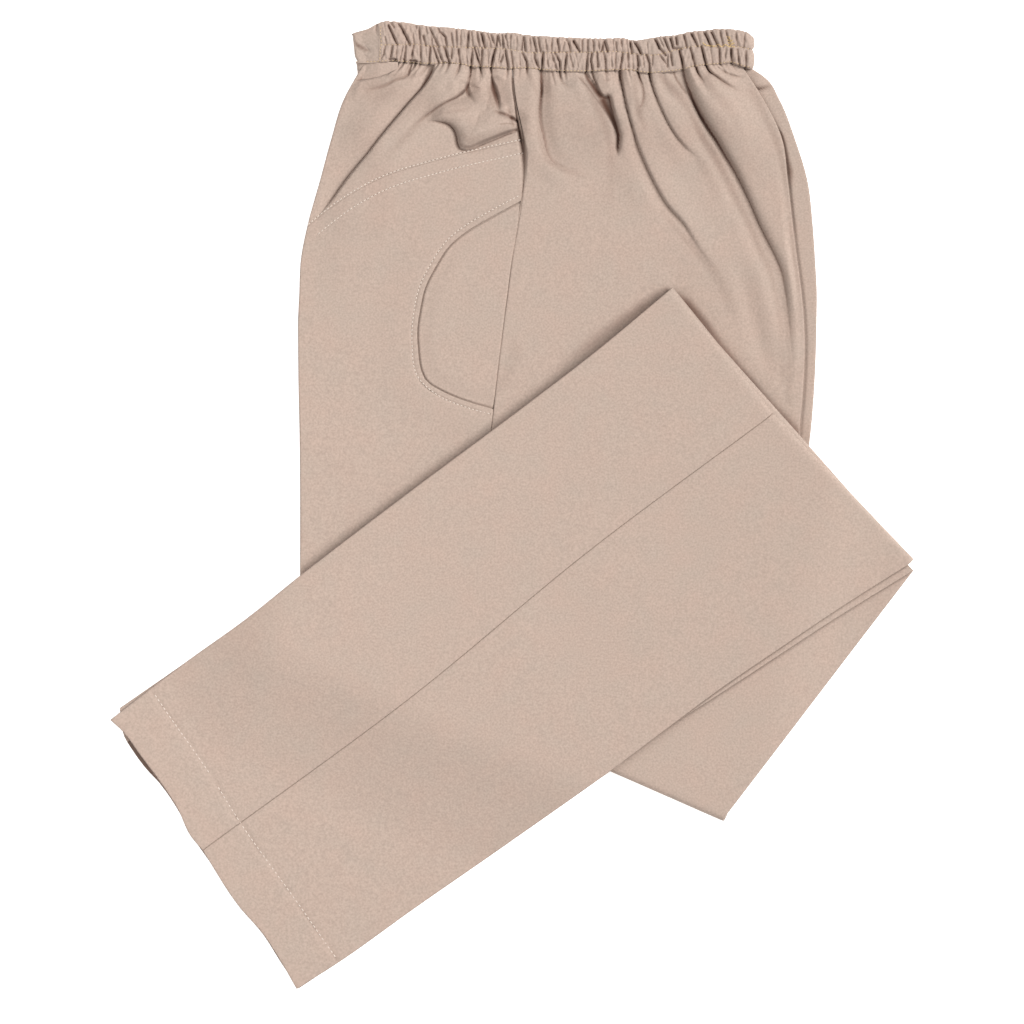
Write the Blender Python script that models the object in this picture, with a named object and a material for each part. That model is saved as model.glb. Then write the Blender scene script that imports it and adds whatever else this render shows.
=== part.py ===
"""Scrub trousers with an elasticated waist, folded twice and lying flat on their side.

The left leg lies on the right one, with the waist towards +Y and the trousers' front towards -X.
The legs fold up across the hips along crease A, at the lower thigh, and back down along crease B,
at the knee, so three stretches lie on each other: thigh, knee and shin.

Tables are in millimetres, on the surface that the trousers lie on: across is measured to the right
from the thigh's front crease, and down is measured from the waist's top edge towards -Y. A layer
height is measured through the two pressed legs, from the right leg's face at 0 to the left leg's
face at STACK. The model is in metres, with +Z up.
"""

from collections import namedtuple

import bmesh
import bpy
import numpy as np

MM = 0.001

# Cloth and layers, in millimetres.
CLOTH = 1.0                      # wall of a panel
GAP = 0.3                        # between pieces at a seam, and between layers
LEG = 2.3                        # one pressed leg, its outer and inner cloth together
STACK = 2 * LEG + GAP            # both legs
LAYER_AIR = 0.55                 # the hidden layers fill the room between the outer panels but for this
INNER_LOW = CLOTH + LAYER_AIR
INNER_HIGH = STACK - CLOTH - LAYER_AIR
KNEE_GAP = 0.8                   # air between the knee stretch and the shin stretch on it
FOLD_A_HEIGHT = STACK + GAP / 2  # middle of the fold along crease A
FOLD_B_HEIGHT = 2 * FOLD_A_HEIGHT + KNEE_GAP / 2
SHIN_BASE = 2 * FOLD_A_HEIGHT + KNEE_GAP

# A leg's edge is a rounded fold: columns at these distances in from it shape the nose.
NOSE = LEG / 2
NOSE_TURN = 0.34
LIP = 3.0
LIP_STEPS = (0.0, NOSE_TURN, NOSE, LIP)
INNER_INSET = 4.5                # the hidden layers stop this far inside the leg's edge
LAYER_GROOVE = 1.8               # depth of the groove between the two legs' inner layers

# Where nothing lies under them, the upper stretches sag to the surface.
SAG_MARGIN = 8.0
KNEE_SAG = 50.0
SHIN_SAG = 75.0

# Level sections across the laid thigh: how far down they are, and where the front crease, the side
# seam and the back crease of the left and the right leg lie across.
Section = namedtuple("Section", "down front seam back_left back_right")
THIGH = (
    Section(18, 38.0, 122.0, 250.0, 256.0),
    Section(40, 26.0, 124.0, 264.5, 274.5),
    Section(63, 19.0, 128.5, 275.5, 283.5),
    Section(86, 12.5, 128.5, 279.0, 290.0),
    Section(110, 5.5, 125.5, 282.0, 292.5),
    Section(131, 2.0, 122.0, 284.5, 294.0),
    Section(165, 0.0, 117.5, 287.5, 295.5),
    Section(230, 0.5, 110.0, 288.0, 291.5),
    Section(340, 1.0, 106.0, 266.0, 268.0),
    Section(450, 1.0, 103.0, 243.0, 244.0),
)

# The two creases and the hem at the front crease, the side seam and the back crease: how far down
# crease A lies on the thigh, and (across, down) for the others.
Crease = namedtuple("Crease", "front seam back")
CREASE_A_DOWN = Crease(340.0, 385.0, 446.0)
CREASE_B = Crease((209.5, 150.0), (267.0, 221.5), (346.0, 305.5))
CREASE_B_RIGHT = Crease((210.0, 150.5), (267.5, 222.0), (348.5, 309.0))
HEM = Crease((-106.0, 392.0), (-53.5, 467.0), (0.0, 546.0))
HEM_RIGHT = Crease((-102.0, 386.0), (-54.0, 467.5), (0.5, 546.5))

# Points that the shin's edges and side seam pass between crease B and the hem.
SHIN_FRONT = ((134.0, 211.0), (0.0, 310.5))
SHIN_SEAM = ((165.0, 297.5), (66.0, 379.0))
SHIN_BACK = ((287.0, 341.0), (246.0, 369.5), (179.0, 422.0))
SHIN_BACK_RIGHT = ((298.0, 342.5), (246.0, 376.0), (179.0, 422.5))

# Waistband: its edges, and the closed loop that it makes in section.
Edge = namedtuple("Edge", "across top bottom")
BAND = (
    Edge(31, 2.5, 19.5),
    Edge(50, -3.5, 19.5),
    Edge(88, -1.5, 19.5),
    Edge(122, 3.0, 22.5),
    Edge(163, 4.5, 24.5),
    Edge(210, 3.5, 24.0),
    Edge(240, -1.0, 21.0),
    Edge(259, 4.0, 21.5),
)
BAND_PLAIN_END = 46.0            # where the plain front piece meets the gathered one
BAND_GAP = 0.5                   # from the waistband's lower edge to the panels
BAND_WALL = 1.9
BAND_HEIGHT = 7.4                # the loop lying flat, without its gathers
BAND_END_STEPS = 6
GATHERS = 52                     # along the upper side
GATHER_STEPS = 4                 # columns for each
GATHER_DEPTH = 0.8
GATHER_UNEVEN = 0.35             # how far a gather strays from its place, as a share of its width
GATHER_DRIFTS = 5
SCALLOP = 0.8
CHANNEL_SWELL = 0.7              # how far the two channels stand out from their stitching

# Rows across the band: share of the way down it, swell of the channel, wave of the gathers, and lag.
GatherRow = namedtuple("GatherRow", "depth swell wave lag")
GATHER_ROWS = (
    GatherRow(0.0, 0.0, 1.0, 0.25),
    GatherRow(0.25, 1.0, 1.0, 0.0),
    GatherRow(0.5, -0.2, 0.35, 0.2),
    GatherRow(0.75, 1.0, 1.0, 0.1),
    GatherRow(1.0, 0.0, 0.7, 0.4),
)

# Curved seam between the yoke and the front panel, from the front crease to the side seam.
YOKE_SEAM = ((5.0, 112.5), (20.0, 100.5), (46.5, 85.0), (81.0, 74.0), (128.5, 63.0))
# Front fold of the left leg: the yoke is recessed between it and the front crease.
FRONT_FOLD = ((81.5, 20.5), (61.0, 43.0), (33.0, 76.0), (9.5, 108.0))
FRONT_FOLD_STEP = 1.9
FRONT_FOLD_SLOPE = 1.0           # half of the width of its step
FRONT_FOLD_FADE = 0.6            # share of the way down where the step begins to fade
FRONT_FOLD_ON_SEAM = 0.05        # where the fold meets the yoke seam, as a share of the seam

# Rounded mouth of the side pocket, from its upper end on the side seam to its lower end.
POCKET_MOUTH = (
    (127.3, 97.0),
    (101.5, 110.0),
    (79.0, 132.0),
    (69.0, 160.0),
    (70.5, 190.0),
    (88.0, 208.0),
    (111.5, 216.0),
)
POCKET_LIFT = 1.3                # the front panel's edge lies on the facing
POCKET_LIFT_FLAT = 5.0
POCKET_LIFT_FADE = 9.0
FACING_UNDER = 3.0               # the facing runs this far under the mouth's edge

# How far down the panels begin under the waistband, and how far across their upper corners lie.
BAND_LEFT_DOWN = 20.0
BAND_SEAM_DOWN = 23.0
BAND_BACK_DOWN = 24.5
BAND_RIGHT_DOWN = 22.5
FRONT_TOP = 38.0
SEAM_TOP = 122.3
BACK_TOP_LEFT = 253.5
BACK_TOP_RIGHT = 257.5
YOKE_FRONT_DOWN = YOKE_SEAM[0][1]
YOKE_SEAM_DOWN = YOKE_SEAM[-1][1]
SEAM_STEP = np.array([0.0, GAP])

# Fullness of the seat that lies tucked in under the hips: rise of the upper cloth by how far below
# the waistband it is, and its share across from the front fold to the back crease.
Fullness = namedtuple("Fullness", "below rise")
FULLNESS = (
    Fullness(0, 2.2),
    Fullness(22, 4.4),
    Fullness(50, 4.2),
    Fullness(90, 2.4),
    Fullness(140, 0.7),
    Fullness(190, 0.0),
)
FULL_EDGE = 32.0                 # the rise comes up over this much at each side
INNER_SHARE = 0.4                # the hidden layers rise by this share of it

# Largest folds of the left hip, from the waistband down. Height is above 0 for a ridge and below 0
# for a trough, and width is half of the fold's width.
Fold = namedtuple("Fold", "height width path")
FOLDS = (
    Fold(1.8, 11.0, ((224.0, 26.0), (238.0, 52.0), (255.0, 84.0), (272.0, 122.0), (281.0, 172.0))),
    Fold(-1.5, 9.0, ((214.0, 27.0), (227.0, 52.0), (243.0, 82.0), (259.0, 116.0))),
    Fold(-1.5, 7.0, ((184.0, 26.0), (190.0, 55.0), (201.0, 83.0), (217.0, 110.0), (236.0, 134.0))),
    Fold(1.2, 8.0, ((175.0, 28.0), (183.0, 48.0), (190.0, 78.0), (204.0, 112.0))),
    Fold(-1.6, 7.0, ((158.0, 27.0), (170.0, 41.0), (182.0, 67.0))),
    Fold(1.3, 8.0, ((149.0, 27.0), (153.0, 55.0), (165.0, 88.0))),
    Fold(-1.3, 6.0, ((138.5, 27.0), (137.5, 50.0), (142.0, 71.0), (158.0, 82.0))),
    Fold(-1.3, 6.0, ((200.0, 27.0), (211.0, 50.0), (230.0, 74.0))),
    Fold(-1.4, 6.5, ((99.0, 23.0), (91.0, 37.0), (75.0, 49.0), (61.0, 61.0))),
    Fold(1.1, 7.5, ((104.0, 24.0), (101.0, 40.0), (86.0, 52.0), (66.0, 66.0))),
    Fold(-1.3, 6.0, ((76.0, 52.0), (89.0, 57.0), (94.0, 65.0), (113.0, 61.0))),
    Fold(-1.3, 5.5, ((110.5, 23.0), (114.0, 36.0), (123.0, 51.0))),
)

# Colours of the warm beige twill, linear.
TWILL = (0.60, 0.49, 0.41)
TWILL_SHADED = (0.51, 0.41, 0.34)
TWILL_BAND = (0.46, 0.37, 0.31)

# Rows of the stretches and the folds.
YOKE_ROWS = 13
MOUTH_ROWS = (0.15, 0.68)        # shares of the front panel's rows where the pocket mouth starts and ends
KNEE_ROWS = 9
SHIN_ROWS = 20
TURNS = np.radians(np.linspace(0.0, 180.0, 6))
FIRST_TURN = np.radians(4.0)     # the pieces that wrap a fold start this far round it
FAR_FROM_LIP = 100.0


def ease(share):
    """0 to 1 with a level start and end."""
    share = np.clip(share, 0.0, 1.0)
    return 0.5 - 0.5 * np.cos(np.pi * share)


def smooth(knots, values, at):
    """Values at the knots joined by a smooth curve, read at the given places."""
    knots = np.asarray(knots, float)
    values = np.asarray(values, float)
    slopes = np.gradient(values, knots, axis=0)
    at = np.clip(np.asarray(at, float), knots[0], knots[-1])
    span = np.clip(np.searchsorted(knots, at, side="right") - 1, 0, len(knots) - 2)
    width = knots[span + 1] - knots[span]
    t = (at - knots[span]) / width
    if values.ndim > 1:
        width = width[..., None]
        t = t[..., None]
    start = (2 * t**3 - 3 * t**2 + 1) * values[span] + (t**3 - 2 * t**2 + t) * width * slopes[span]
    end = (3 * t**2 - 2 * t**3) * values[span + 1] + (t**3 - t**2) * width * slopes[span + 1]
    return start + end


def line_through(*points):
    """A smooth line through the points, as a function of the share of its length."""
    points = np.asarray(points, float)
    steps = np.hypot(*np.diff(points, axis=0).T)
    shares = np.concatenate([[0.0], np.cumsum(steps)]) / steps.sum()
    return lambda share: smooth(shares, points, share)


def across_thigh(name, down):
    """Where an edge or the seam of the laid thigh lies, this far down."""
    return smooth([row.down for row in THIGH], [getattr(row, name) for row in THIGH], down)


def down_thigh(name, first, last):
    """The run of an edge or the seam of the thigh between two distances down."""
    def at(share):
        down = first + (last - first) * np.asarray(share, float)
        return np.stack([across_thigh(name, down), down], -1)
    return at


def band_edge(name):
    """An edge of the waistband, as a function of how far across."""
    return lambda across: smooth([row.across for row in BAND], [getattr(row, name) for row in BAND], across)


def joined(*parts):
    """Lines one after the other. Each part is (share at which it ends, line)."""
    def at(share):
        share = np.asarray(share, float)
        start = 0.0
        found = None
        for end, line in parts:
            piece = line(np.clip((share - start) / (end - start), 0.0, 1.0))
            found = piece if found is None else np.where((share > start)[..., None], piece, found)
            start = end
        return found
    return at


def part_of(line, first, last):
    return lambda share: line(first + (last - first) * np.asarray(share, float))


def gaps_to(points, line):
    """Distance of each point from a line given by its corner points, and the share along it."""
    line = np.asarray(line, float)
    starts = line[:-1]
    runs = np.diff(line, axis=0)
    lengths = np.hypot(*runs.T)
    before = np.concatenate([[0.0], np.cumsum(lengths)[:-1]])
    away = points[..., None, :] - starts
    t = np.clip((away * runs).sum(-1) / lengths**2, 0.0, 1.0)
    distances = np.hypot(*np.moveaxis(away - t[..., None] * runs, -1, 0))
    nearest = distances.argmin(-1)[..., None]
    along = (before + t * lengths) / lengths.sum()
    pick = lambda values: np.take_along_axis(values, nearest, -1)[..., 0]
    return pick(distances), pick(along)


def outside(points, outline):
    """Distance of each point outside a closed outline, 0 inside it."""
    closed = np.vstack([outline, outline[:1]])
    distance, _ = gaps_to(points, closed)
    x, y = points[..., None, 0], points[..., None, 1]
    x0, y0 = closed[:-1].T
    x1, y1 = closed[1:].T
    crosses = (y0 > y) != (y1 > y)
    rise = np.where(y1 == y0, 1.0, y1 - y0)
    crossings = (crosses & (x < x0 + (y - y0) * (x1 - x0) / rise)).sum(-1)
    return np.where(crossings % 2, 0.0, distance)


def crease_line(crease, side):
    """The front or the back half of a crease, from the leg's edge to the side seam and on."""
    return line_through(crease.front, crease.seam) if side == "front" else line_through(crease.seam, crease.back)


def outward(crease, turned):
    """Unit direction in which a fold bulges. Turned is 1 or -1, for the side of the crease."""
    run = np.subtract(crease.back, crease.front)
    return turned * np.array([-run[1], run[0]]) / np.hypot(*run)


CREASE_A = Crease(*[(float(across_thigh(name, down)), down)
                    for name, down in zip(("front", "seam", "back_left"), CREASE_A_DOWN)])
OUT_A = outward(CREASE_A, 1)
OUT_B = outward(CREASE_B, -1)


def thigh_outline():
    shares = np.linspace(0.0, 1.0, 12)
    front = down_thigh("front", 18.0, CREASE_A.front[1])(shares)
    back = down_thigh("back_right", CREASE_A.back[1], 18.0)(shares)
    return np.vstack([front, OUT_A * STACK + CREASE_A.front, OUT_A * STACK + CREASE_A.back, back])


def knee_outline():
    return np.array([
        OUT_A * STACK + CREASE_A.front,
        OUT_A * STACK + CREASE_A.back,
        OUT_B * STACK + CREASE_B_RIGHT.back,
        OUT_B * STACK + CREASE_B.front,
    ])


def shin_outline():
    return np.array([CREASE_B.front, *SHIN_FRONT, HEM.front, HEM.back, CREASE_B_RIGHT.back])


THIGH_OUTLINE = thigh_outline()
KNEE_OUTLINE = knee_outline()
SHIN_OUTLINE = shin_outline()


def knee_sag(points):
    """How far the knee stretch hangs below its full height."""
    return (STACK + GAP) * ease((outside(points, THIGH_OUTLINE) - SAG_MARGIN) / KNEE_SAG)


def shin_sag(points):
    """How far the shin stretch hangs below its full height, off the thigh and off the knee."""
    off_thigh = ease((outside(points, THIGH_OUTLINE) - SAG_MARGIN) / SHIN_SAG)
    off_knee = ease((outside(points, KNEE_OUTLINE) - SAG_MARGIN) / SHIN_SAG)
    beside = knee_sag(points) * (1.0 - off_knee)
    return beside + ((STACK + GAP) * off_thigh + STACK + KNEE_GAP) * off_knee


def fullness(points):
    """Rise of the upper cloth over the tucked-in seat, smooth, without folds."""
    across, down = points[..., 0], points[..., 1]
    below = down - band_edge("bottom")(across)
    rise = smooth([row.below for row in FULLNESS], [row.rise for row in FULLNESS], below)
    from_front = ease((across - across_thigh("front", down)) / FULL_EDGE)
    from_back = ease((across_thigh("back_left", down) - across) / FULL_EDGE)
    clear = ease((np.minimum(outside(points, SHIN_OUTLINE), outside(points, KNEE_OUTLINE)) - 2.0) / 30.0)
    return rise * from_front * from_back * clear


def folds(points):
    """Rise of the upper cloth in its largest folds."""
    rise = np.zeros(points.shape[:-1])
    for fold in FOLDS:
        distance, along = gaps_to(points, fold.path)
        fade = ease(4.0 * along + 0.35) * ease(2.2 * (1.0 - along))
        rise += fold.height * fade * (1.0 - ease(distance / fold.width))
    clear = ease((outside(points, SHIN_OUTLINE) - 1.0) / 12.0)
    from_back = ease((across_thigh("back_left", points[..., 1]) - points[..., 0] - LIP) / 6.0)
    return rise * clear * from_back


def pocket_lift(points):
    """Rise of the front panel where its edge lies on the pocket facing."""
    distance, _ = gaps_to(points, line_through(*POCKET_MOUTH)(np.linspace(0.0, 1.0, 25)))
    return POCKET_LIFT * (1.0 - ease((distance - POCKET_LIFT_FLAT) / POCKET_LIFT_FADE))


def spread(length, count, lips, first_gap=GAP, last_gap=GAP):
    """Places across a row of this length: a lip's columns at each edge in lips, and count steps between."""
    first = list(LIP_STEPS) if "first" in lips else [first_gap]
    last = [length - step for step in reversed(LIP_STEPS)] if "last" in lips else [length - last_gap]
    return np.array(first[:-1] + list(np.linspace(first[-1], last[0], count + 1)) + last[1:])


def patch(left, right, shares, count, lips="", top=None, bottom=None, gaps=(GAP, GAP)):
    """Points of a panel between two lines, a row for each share along them, with the distance to the nearest
    lip. Top and bottom are the lines of its first and last row, where those aren't straight."""
    shares = np.asarray(shares, float)
    starts, ends = left(shares), right(shares)
    lengths = np.hypot(*(ends - starts).T)
    places = np.array([spread(length, count, lips, *gaps) for length in lengths])
    s = (places / lengths[:, None])[..., None]
    t = shares[:, None, None]
    points = (1.0 - s) * starts[:, None] + s * ends[:, None]
    corners = (left(0.0), right(0.0), left(1.0), right(1.0))
    if top is not None:
        points = points + (1.0 - t) * (top(s[..., 0]) - (1.0 - s) * corners[0] - s * corners[1])
    if bottom is not None:
        points = points + t * (bottom(s[..., 0]) - (1.0 - s) * corners[2] - s * corners[3])
    far = np.full(places.shape, FAR_FROM_LIP)
    from_first = places if "first" in lips else far
    from_last = lengths[:, None] - places if "last" in lips else far
    return points, np.minimum(from_first, from_last)


def wall_layers(leg, lip):
    """Layer heights of a panel's outer and inner face, this far from its leg's rounded edge."""
    nose = np.sqrt(NOSE**2 - (NOSE - np.minimum(lip, NOSE))**2)
    hollow = ease((lip - NOSE) / (LIP - NOSE))
    outer = NOSE - nose
    inner = np.where(lip <= NOSE, NOSE + nose, LEG + (CLOTH - LEG) * hollow)
    if leg == "right":
        return outer, inner
    return STACK - outer, STACK - inner


def folded(stretch, points, layer, turn=0.0):
    """Places in space of points at this layer height on a stretch of the folded legs, or on the turn into it."""
    if stretch == "thigh":
        height = layer
    elif stretch == "turn_a":
        radius = FOLD_A_HEIGHT - layer
        height = FOLD_A_HEIGHT - radius * np.cos(turn)
        points = points + OUT_A * (radius * np.sin(turn))[..., None]
    elif stretch == "knee":
        height = 2 * FOLD_A_HEIGHT - layer - knee_sag(points)
    elif stretch == "turn_b":
        radius = KNEE_GAP / 2 + layer
        height = FOLD_B_HEIGHT - radius * np.cos(turn) - knee_sag(points)
        points = points + OUT_B * (radius * np.sin(turn))[..., None]
    else:
        height = SHIN_BASE + layer - shin_sag(points)
    return np.stack([points[..., 0], -points[..., 1], height], -1)


def wall_mesh(outer, inner, groove=0.0):
    """A closed wall between two grids of points. Where they touch, the wall ends in a rounded edge, and a groove
    cuts into its other edges halfway through."""
    rows, columns, _ = outer.shape
    points = [*outer.reshape(-1, 3)]
    low = {}
    for i in range(rows):
        for j in range(columns):
            if np.linalg.norm(outer[i, j] - inner[i, j]) < 1e-5:
                low[i, j] = i * columns + j
            else:
                low[i, j] = len(points)
                points.append(inner[i, j])
    faces = []
    for i in range(rows - 1):
        for j in range(columns - 1):
            corners = [(i, j), (i, j + 1), (i + 1, j + 1), (i + 1, j)]
            faces.append([a * columns + b for a, b in corners])
            faces.append([low[corner] for corner in reversed(corners)])
    rim = [(0, j) for j in range(columns)] + [(i, columns - 1) for i in range(1, rows)]
    rim += [(rows - 1, j) for j in range(columns - 2, -1, -1)] + [(i, 0) for i in range(rows - 2, 0, -1)]
    middle = {}
    if groove:
        centre = (outer + inner) / 2
        for i, j in rim:
            inside = centre[min(max(i, 1), rows - 2), min(max(j, 1), columns - 2)]
            inwards = inside - centre[i, j]
            middle[i, j] = len(points)
            points.append(centre[i, j] + inwards / np.linalg.norm(inwards) * groove)
    for first, second in zip(rim, rim[1:] + rim[:1]):
        high = [a * columns + b for a, b in (second, first)]
        strips = [[*high, low[first], low[second]]]
        if groove:
            strips = [[*high, middle[first], middle[second]]]
            strips.append([middle[second], middle[first], low[first], low[second]])
        for strip in strips:
            corners = [corner for k, corner in enumerate(strip) if corner not in strip[:k]]
            if len(corners) > 2:
                faces.append(corners)
    return points, faces


def add_piece(name, points, faces, colour):
    """One named object from points in millimetres, with its faces out and its own cloth material."""
    mesh = bpy.data.meshes.new(name)
    mesh.from_pydata([tuple(float(value) * MM for value in point) for point in points], [], faces)
    shape = bmesh.new()
    shape.from_mesh(mesh)
    bmesh.ops.triangulate(shape, faces=shape.faces)
    bmesh.ops.recalc_face_normals(shape, faces=shape.faces)
    shape.to_mesh(mesh)
    shape.free()
    mesh.shade_smooth()
    material = bpy.data.materials.new(name + "_twill")
    material.use_nodes = True
    shader = material.node_tree.nodes["Principled BSDF"]
    shader.inputs["Base Color"].default_value = (*colour, 1.0)
    shader.inputs["Roughness"].default_value = 0.85
    shader.inputs["Metallic"].default_value = 0.0
    mesh.materials.append(material)
    piece = bpy.data.objects.new(name, mesh)
    bpy.context.scene.collection.objects.link(piece)
    return piece


def panel(name, leg, stretches, colour, rise=None):
    """A panel's wall. Stretches are (stretch, points, lips, turn) in the order in which the cloth runs."""
    outer, inner = [], []
    for stretch, points, lip, turn in stretches:
        high, low = wall_layers(leg, lip)
        if rise is not None:
            lift = rise(points)
            high = high + lift
            low = low + lift
        outer.append(folded(stretch, points, high, turn))
        inner.append(folded(stretch, points, low, turn))
    add_piece(name, *wall_mesh(np.concatenate(outer), np.concatenate(inner)), colour)


def turn_rows(stretch, points, lip, turns):
    """The first row of a stretch, carried round the fold that leads into it."""
    steps = np.repeat(turns[:, None], points.shape[1], axis=1)
    rows = np.repeat(points[:1], len(turns), axis=0)
    return stretch, rows, np.repeat(lip[:1], len(turns), axis=0), steps


def flat_rows(stretch, points, lip, skip=0):
    return stretch, points[skip:], lip[skip:], np.zeros(lip[skip:].shape)


def hip_rise(points):
    return fullness(points) + folds(points)


def back_left_thigh():
    """The back panel of the hip and thigh, with its folds."""
    left = joined((0.72, down_thigh("seam", BAND_BACK_DOWN, 216.0)),
                  (1.0, down_thigh("seam", 216.0, CREASE_A.seam[1])))
    right = joined((0.72, down_thigh("back_left", BAND_RIGHT_DOWN, 216.0)),
                   (1.0, down_thigh("back_left", 216.0, CREASE_A.back[1])))
    shares = np.concatenate([np.linspace(0.0, 0.5, 22), np.linspace(0.5, 1.0, 8)[1:]])
    points, lip = patch(left, right, shares, 25, "last",
                        lambda share: under_band(SEAM_TOP + (BACK_TOP_LEFT - SEAM_TOP) * share),
                        line_through(CREASE_A.seam, CREASE_A.back))
    panel("back_left_thigh", "left", [flat_rows("thigh", points, lip)], TWILL_SHADED, hip_rise)


def under_band(across):
    """The line just under the waistband's lower edge."""
    across = np.asarray(across, float)
    return np.stack([across, band_edge("bottom")(across) + BAND_GAP], -1)


def yoke_left():
    """The yoke over the front pocket, with the recessed triangle in front of the leg's front fold."""
    shares = np.linspace(0.0, 1.0, YOKE_ROWS)
    fold = line_through(*FRONT_FOLD)
    yoke_seam = line_through(*YOKE_SEAM)
    above_seam = lambda share: yoke_seam(share) - SEAM_STEP
    recessed, lip = patch(
        down_thigh("front", BAND_LEFT_DOWN, YOKE_FRONT_DOWN - GAP), fold, shares, 4, "first",
        lambda share: under_band(FRONT_TOP + (FRONT_FOLD[0][0] - FRONT_TOP) * share),
        part_of(above_seam, 0.0, FRONT_FOLD_ON_SEAM), (0.0, FRONT_FOLD_SLOPE))
    raised, _ = patch(
        fold, down_thigh("seam", BAND_SEAM_DOWN, YOKE_SEAM_DOWN - GAP), shares, 16, "",
        lambda share: under_band(FRONT_FOLD[0][0] + (SEAM_TOP - FRONT_FOLD[0][0]) * share),
        part_of(above_seam, FRONT_FOLD_ON_SEAM, 1.0), (FRONT_FOLD_SLOPE, GAP))
    points = np.concatenate([recessed, raised], axis=1)
    far = np.full(raised.shape[:2], FAR_FROM_LIP)
    step = np.concatenate([np.zeros(lip.shape), np.ones(far.shape)], axis=1)
    fade = 1.0 - ease((shares - FRONT_FOLD_FADE) / (1.0 - FRONT_FOLD_FADE))
    lift = hip_rise(points) + FRONT_FOLD_STEP * step * fade[:, None]
    high, low = wall_layers("left", np.concatenate([lip, far], axis=1))
    outer, inner = folded("thigh", points, high + lift), folded("thigh", points, low + lift)
    add_piece("yoke_left", *wall_mesh(outer, inner), TWILL)


def front_left_thigh():
    """The front panel, cut away round the pocket mouth."""
    yoke_seam = line_through(*YOKE_SEAM)
    mouth_top, mouth_end = POCKET_MOUTH[0][1], POCKET_MOUTH[-1][1]
    above, beside = MOUTH_ROWS
    left = joined((above, down_thigh("front", YOKE_FRONT_DOWN + GAP, 132.0)),
                  (beside, down_thigh("front", 132.0, 232.0)),
                  (1.0, down_thigh("front", 232.0, CREASE_A.front[1])))
    right = joined((above, down_thigh("seam", YOKE_SEAM_DOWN + GAP, mouth_top)),
                   (beside, line_through(*POCKET_MOUTH)),
                   (1.0, down_thigh("seam", mouth_end, CREASE_A.seam[1])))
    shares = np.concatenate([np.linspace(0.0, above, 4), np.linspace(above, beside, 12)[1:],
                             np.linspace(beside, 1.0, 6)[1:]])
    points, lip = patch(left, right, shares, 9, "first", lambda share: yoke_seam(share) + SEAM_STEP,
                        line_through(CREASE_A.front, CREASE_A.seam))
    panel("front_left_thigh", "left", [flat_rows("thigh", points, lip)], TWILL,
          lambda at: fullness(at) + pocket_lift(at))


def pocket_facing_left():
    """The half-moon of cloth in the pocket mouth, a little wider than the mouth."""
    mouth = line_through(*POCKET_MOUTH)(np.linspace(0.0, 1.0, 13))
    along = np.gradient(mouth, axis=0)
    outwards = np.stack([-along[:, 1], along[:, 0]], -1) / np.hypot(*along.T)[:, None]
    under = mouth + FACING_UNDER * outwards
    points, lip = patch(line_through(*under), down_thigh("seam", under[0, 1], under[-1, 1]),
                        np.linspace(0.02, 0.98, 13), 5)
    panel("pocket_facing_left", "left", [flat_rows("thigh", points, lip)], TWILL, fullness)


def right_thigh():
    """The right leg's yoke, front and back, flat on the surface, with no pocket mouth."""
    yoke_seam = line_through(*YOKE_SEAM)
    low = CREASE_A.seam[1] - GAP
    points, lip = patch(
        down_thigh("front", BAND_LEFT_DOWN, YOKE_FRONT_DOWN - GAP),
        down_thigh("seam", BAND_SEAM_DOWN, YOKE_SEAM_DOWN - GAP), np.linspace(0.0, 1.0, 9), 5, "first",
        lambda share: under_band(FRONT_TOP + (SEAM_TOP - FRONT_TOP) * share),
        lambda share: yoke_seam(share) - SEAM_STEP)
    panel("yoke_right", "right", [flat_rows("thigh", points, lip)], TWILL_SHADED)
    points, lip = patch(
        down_thigh("front", YOKE_FRONT_DOWN + GAP, CREASE_A.front[1] - GAP),
        down_thigh("seam", YOKE_SEAM_DOWN + GAP, low), np.linspace(0.0, 1.0, 12), 4, "first",
        lambda share: yoke_seam(share) + SEAM_STEP,
        lambda share: line_through(CREASE_A.front, CREASE_A.seam)(share) - SEAM_STEP)
    panel("front_right_thigh", "right", [flat_rows("thigh", points, lip)], TWILL)
    points, lip = patch(
        down_thigh("seam", BAND_BACK_DOWN, low), down_thigh("back_right", BAND_RIGHT_DOWN, CREASE_A.back[1] - GAP),
        np.linspace(0.0, 1.0, 20), 6, "last",
        lambda share: under_band(SEAM_TOP + (BACK_TOP_RIGHT - SEAM_TOP) * share),
        lambda share: line_through(CREASE_A.seam, CREASE_A.back)(share) - SEAM_STEP)
    panel("back_right_thigh", "right", [flat_rows("thigh", points, lip)], TWILL_SHADED)


def knee(leg):
    """Front and back of one leg between the creases. The right leg's cloth wraps the fold along crease A."""
    crease = CREASE_B if leg == "left" else CREASE_B_RIGHT
    last = 1.0 if leg == "right" else 1.0 - GAP / 200.0
    shares = np.linspace(0.0, last, KNEE_ROWS)
    for side, first_end, last_end, lips in (("front", "front", "seam", "first"), ("back", "seam", "back", "last")):
        left = line_through(getattr(CREASE_A, first_end), getattr(crease, first_end))
        right = line_through(getattr(CREASE_A, last_end), getattr(crease, last_end))
        points, lip = patch(left, right, shares, 5, lips)
        stretches = [flat_rows("knee", points, lip, 1 if leg == "right" else 0)]
        if leg == "right":
            stretches.insert(0, turn_rows("turn_a", points, lip, np.concatenate([[FIRST_TURN], TURNS[1:]])))
        panel(f"{side}_{leg}_knee", leg, stretches, TWILL if side == "front" else TWILL_SHADED)


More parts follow.
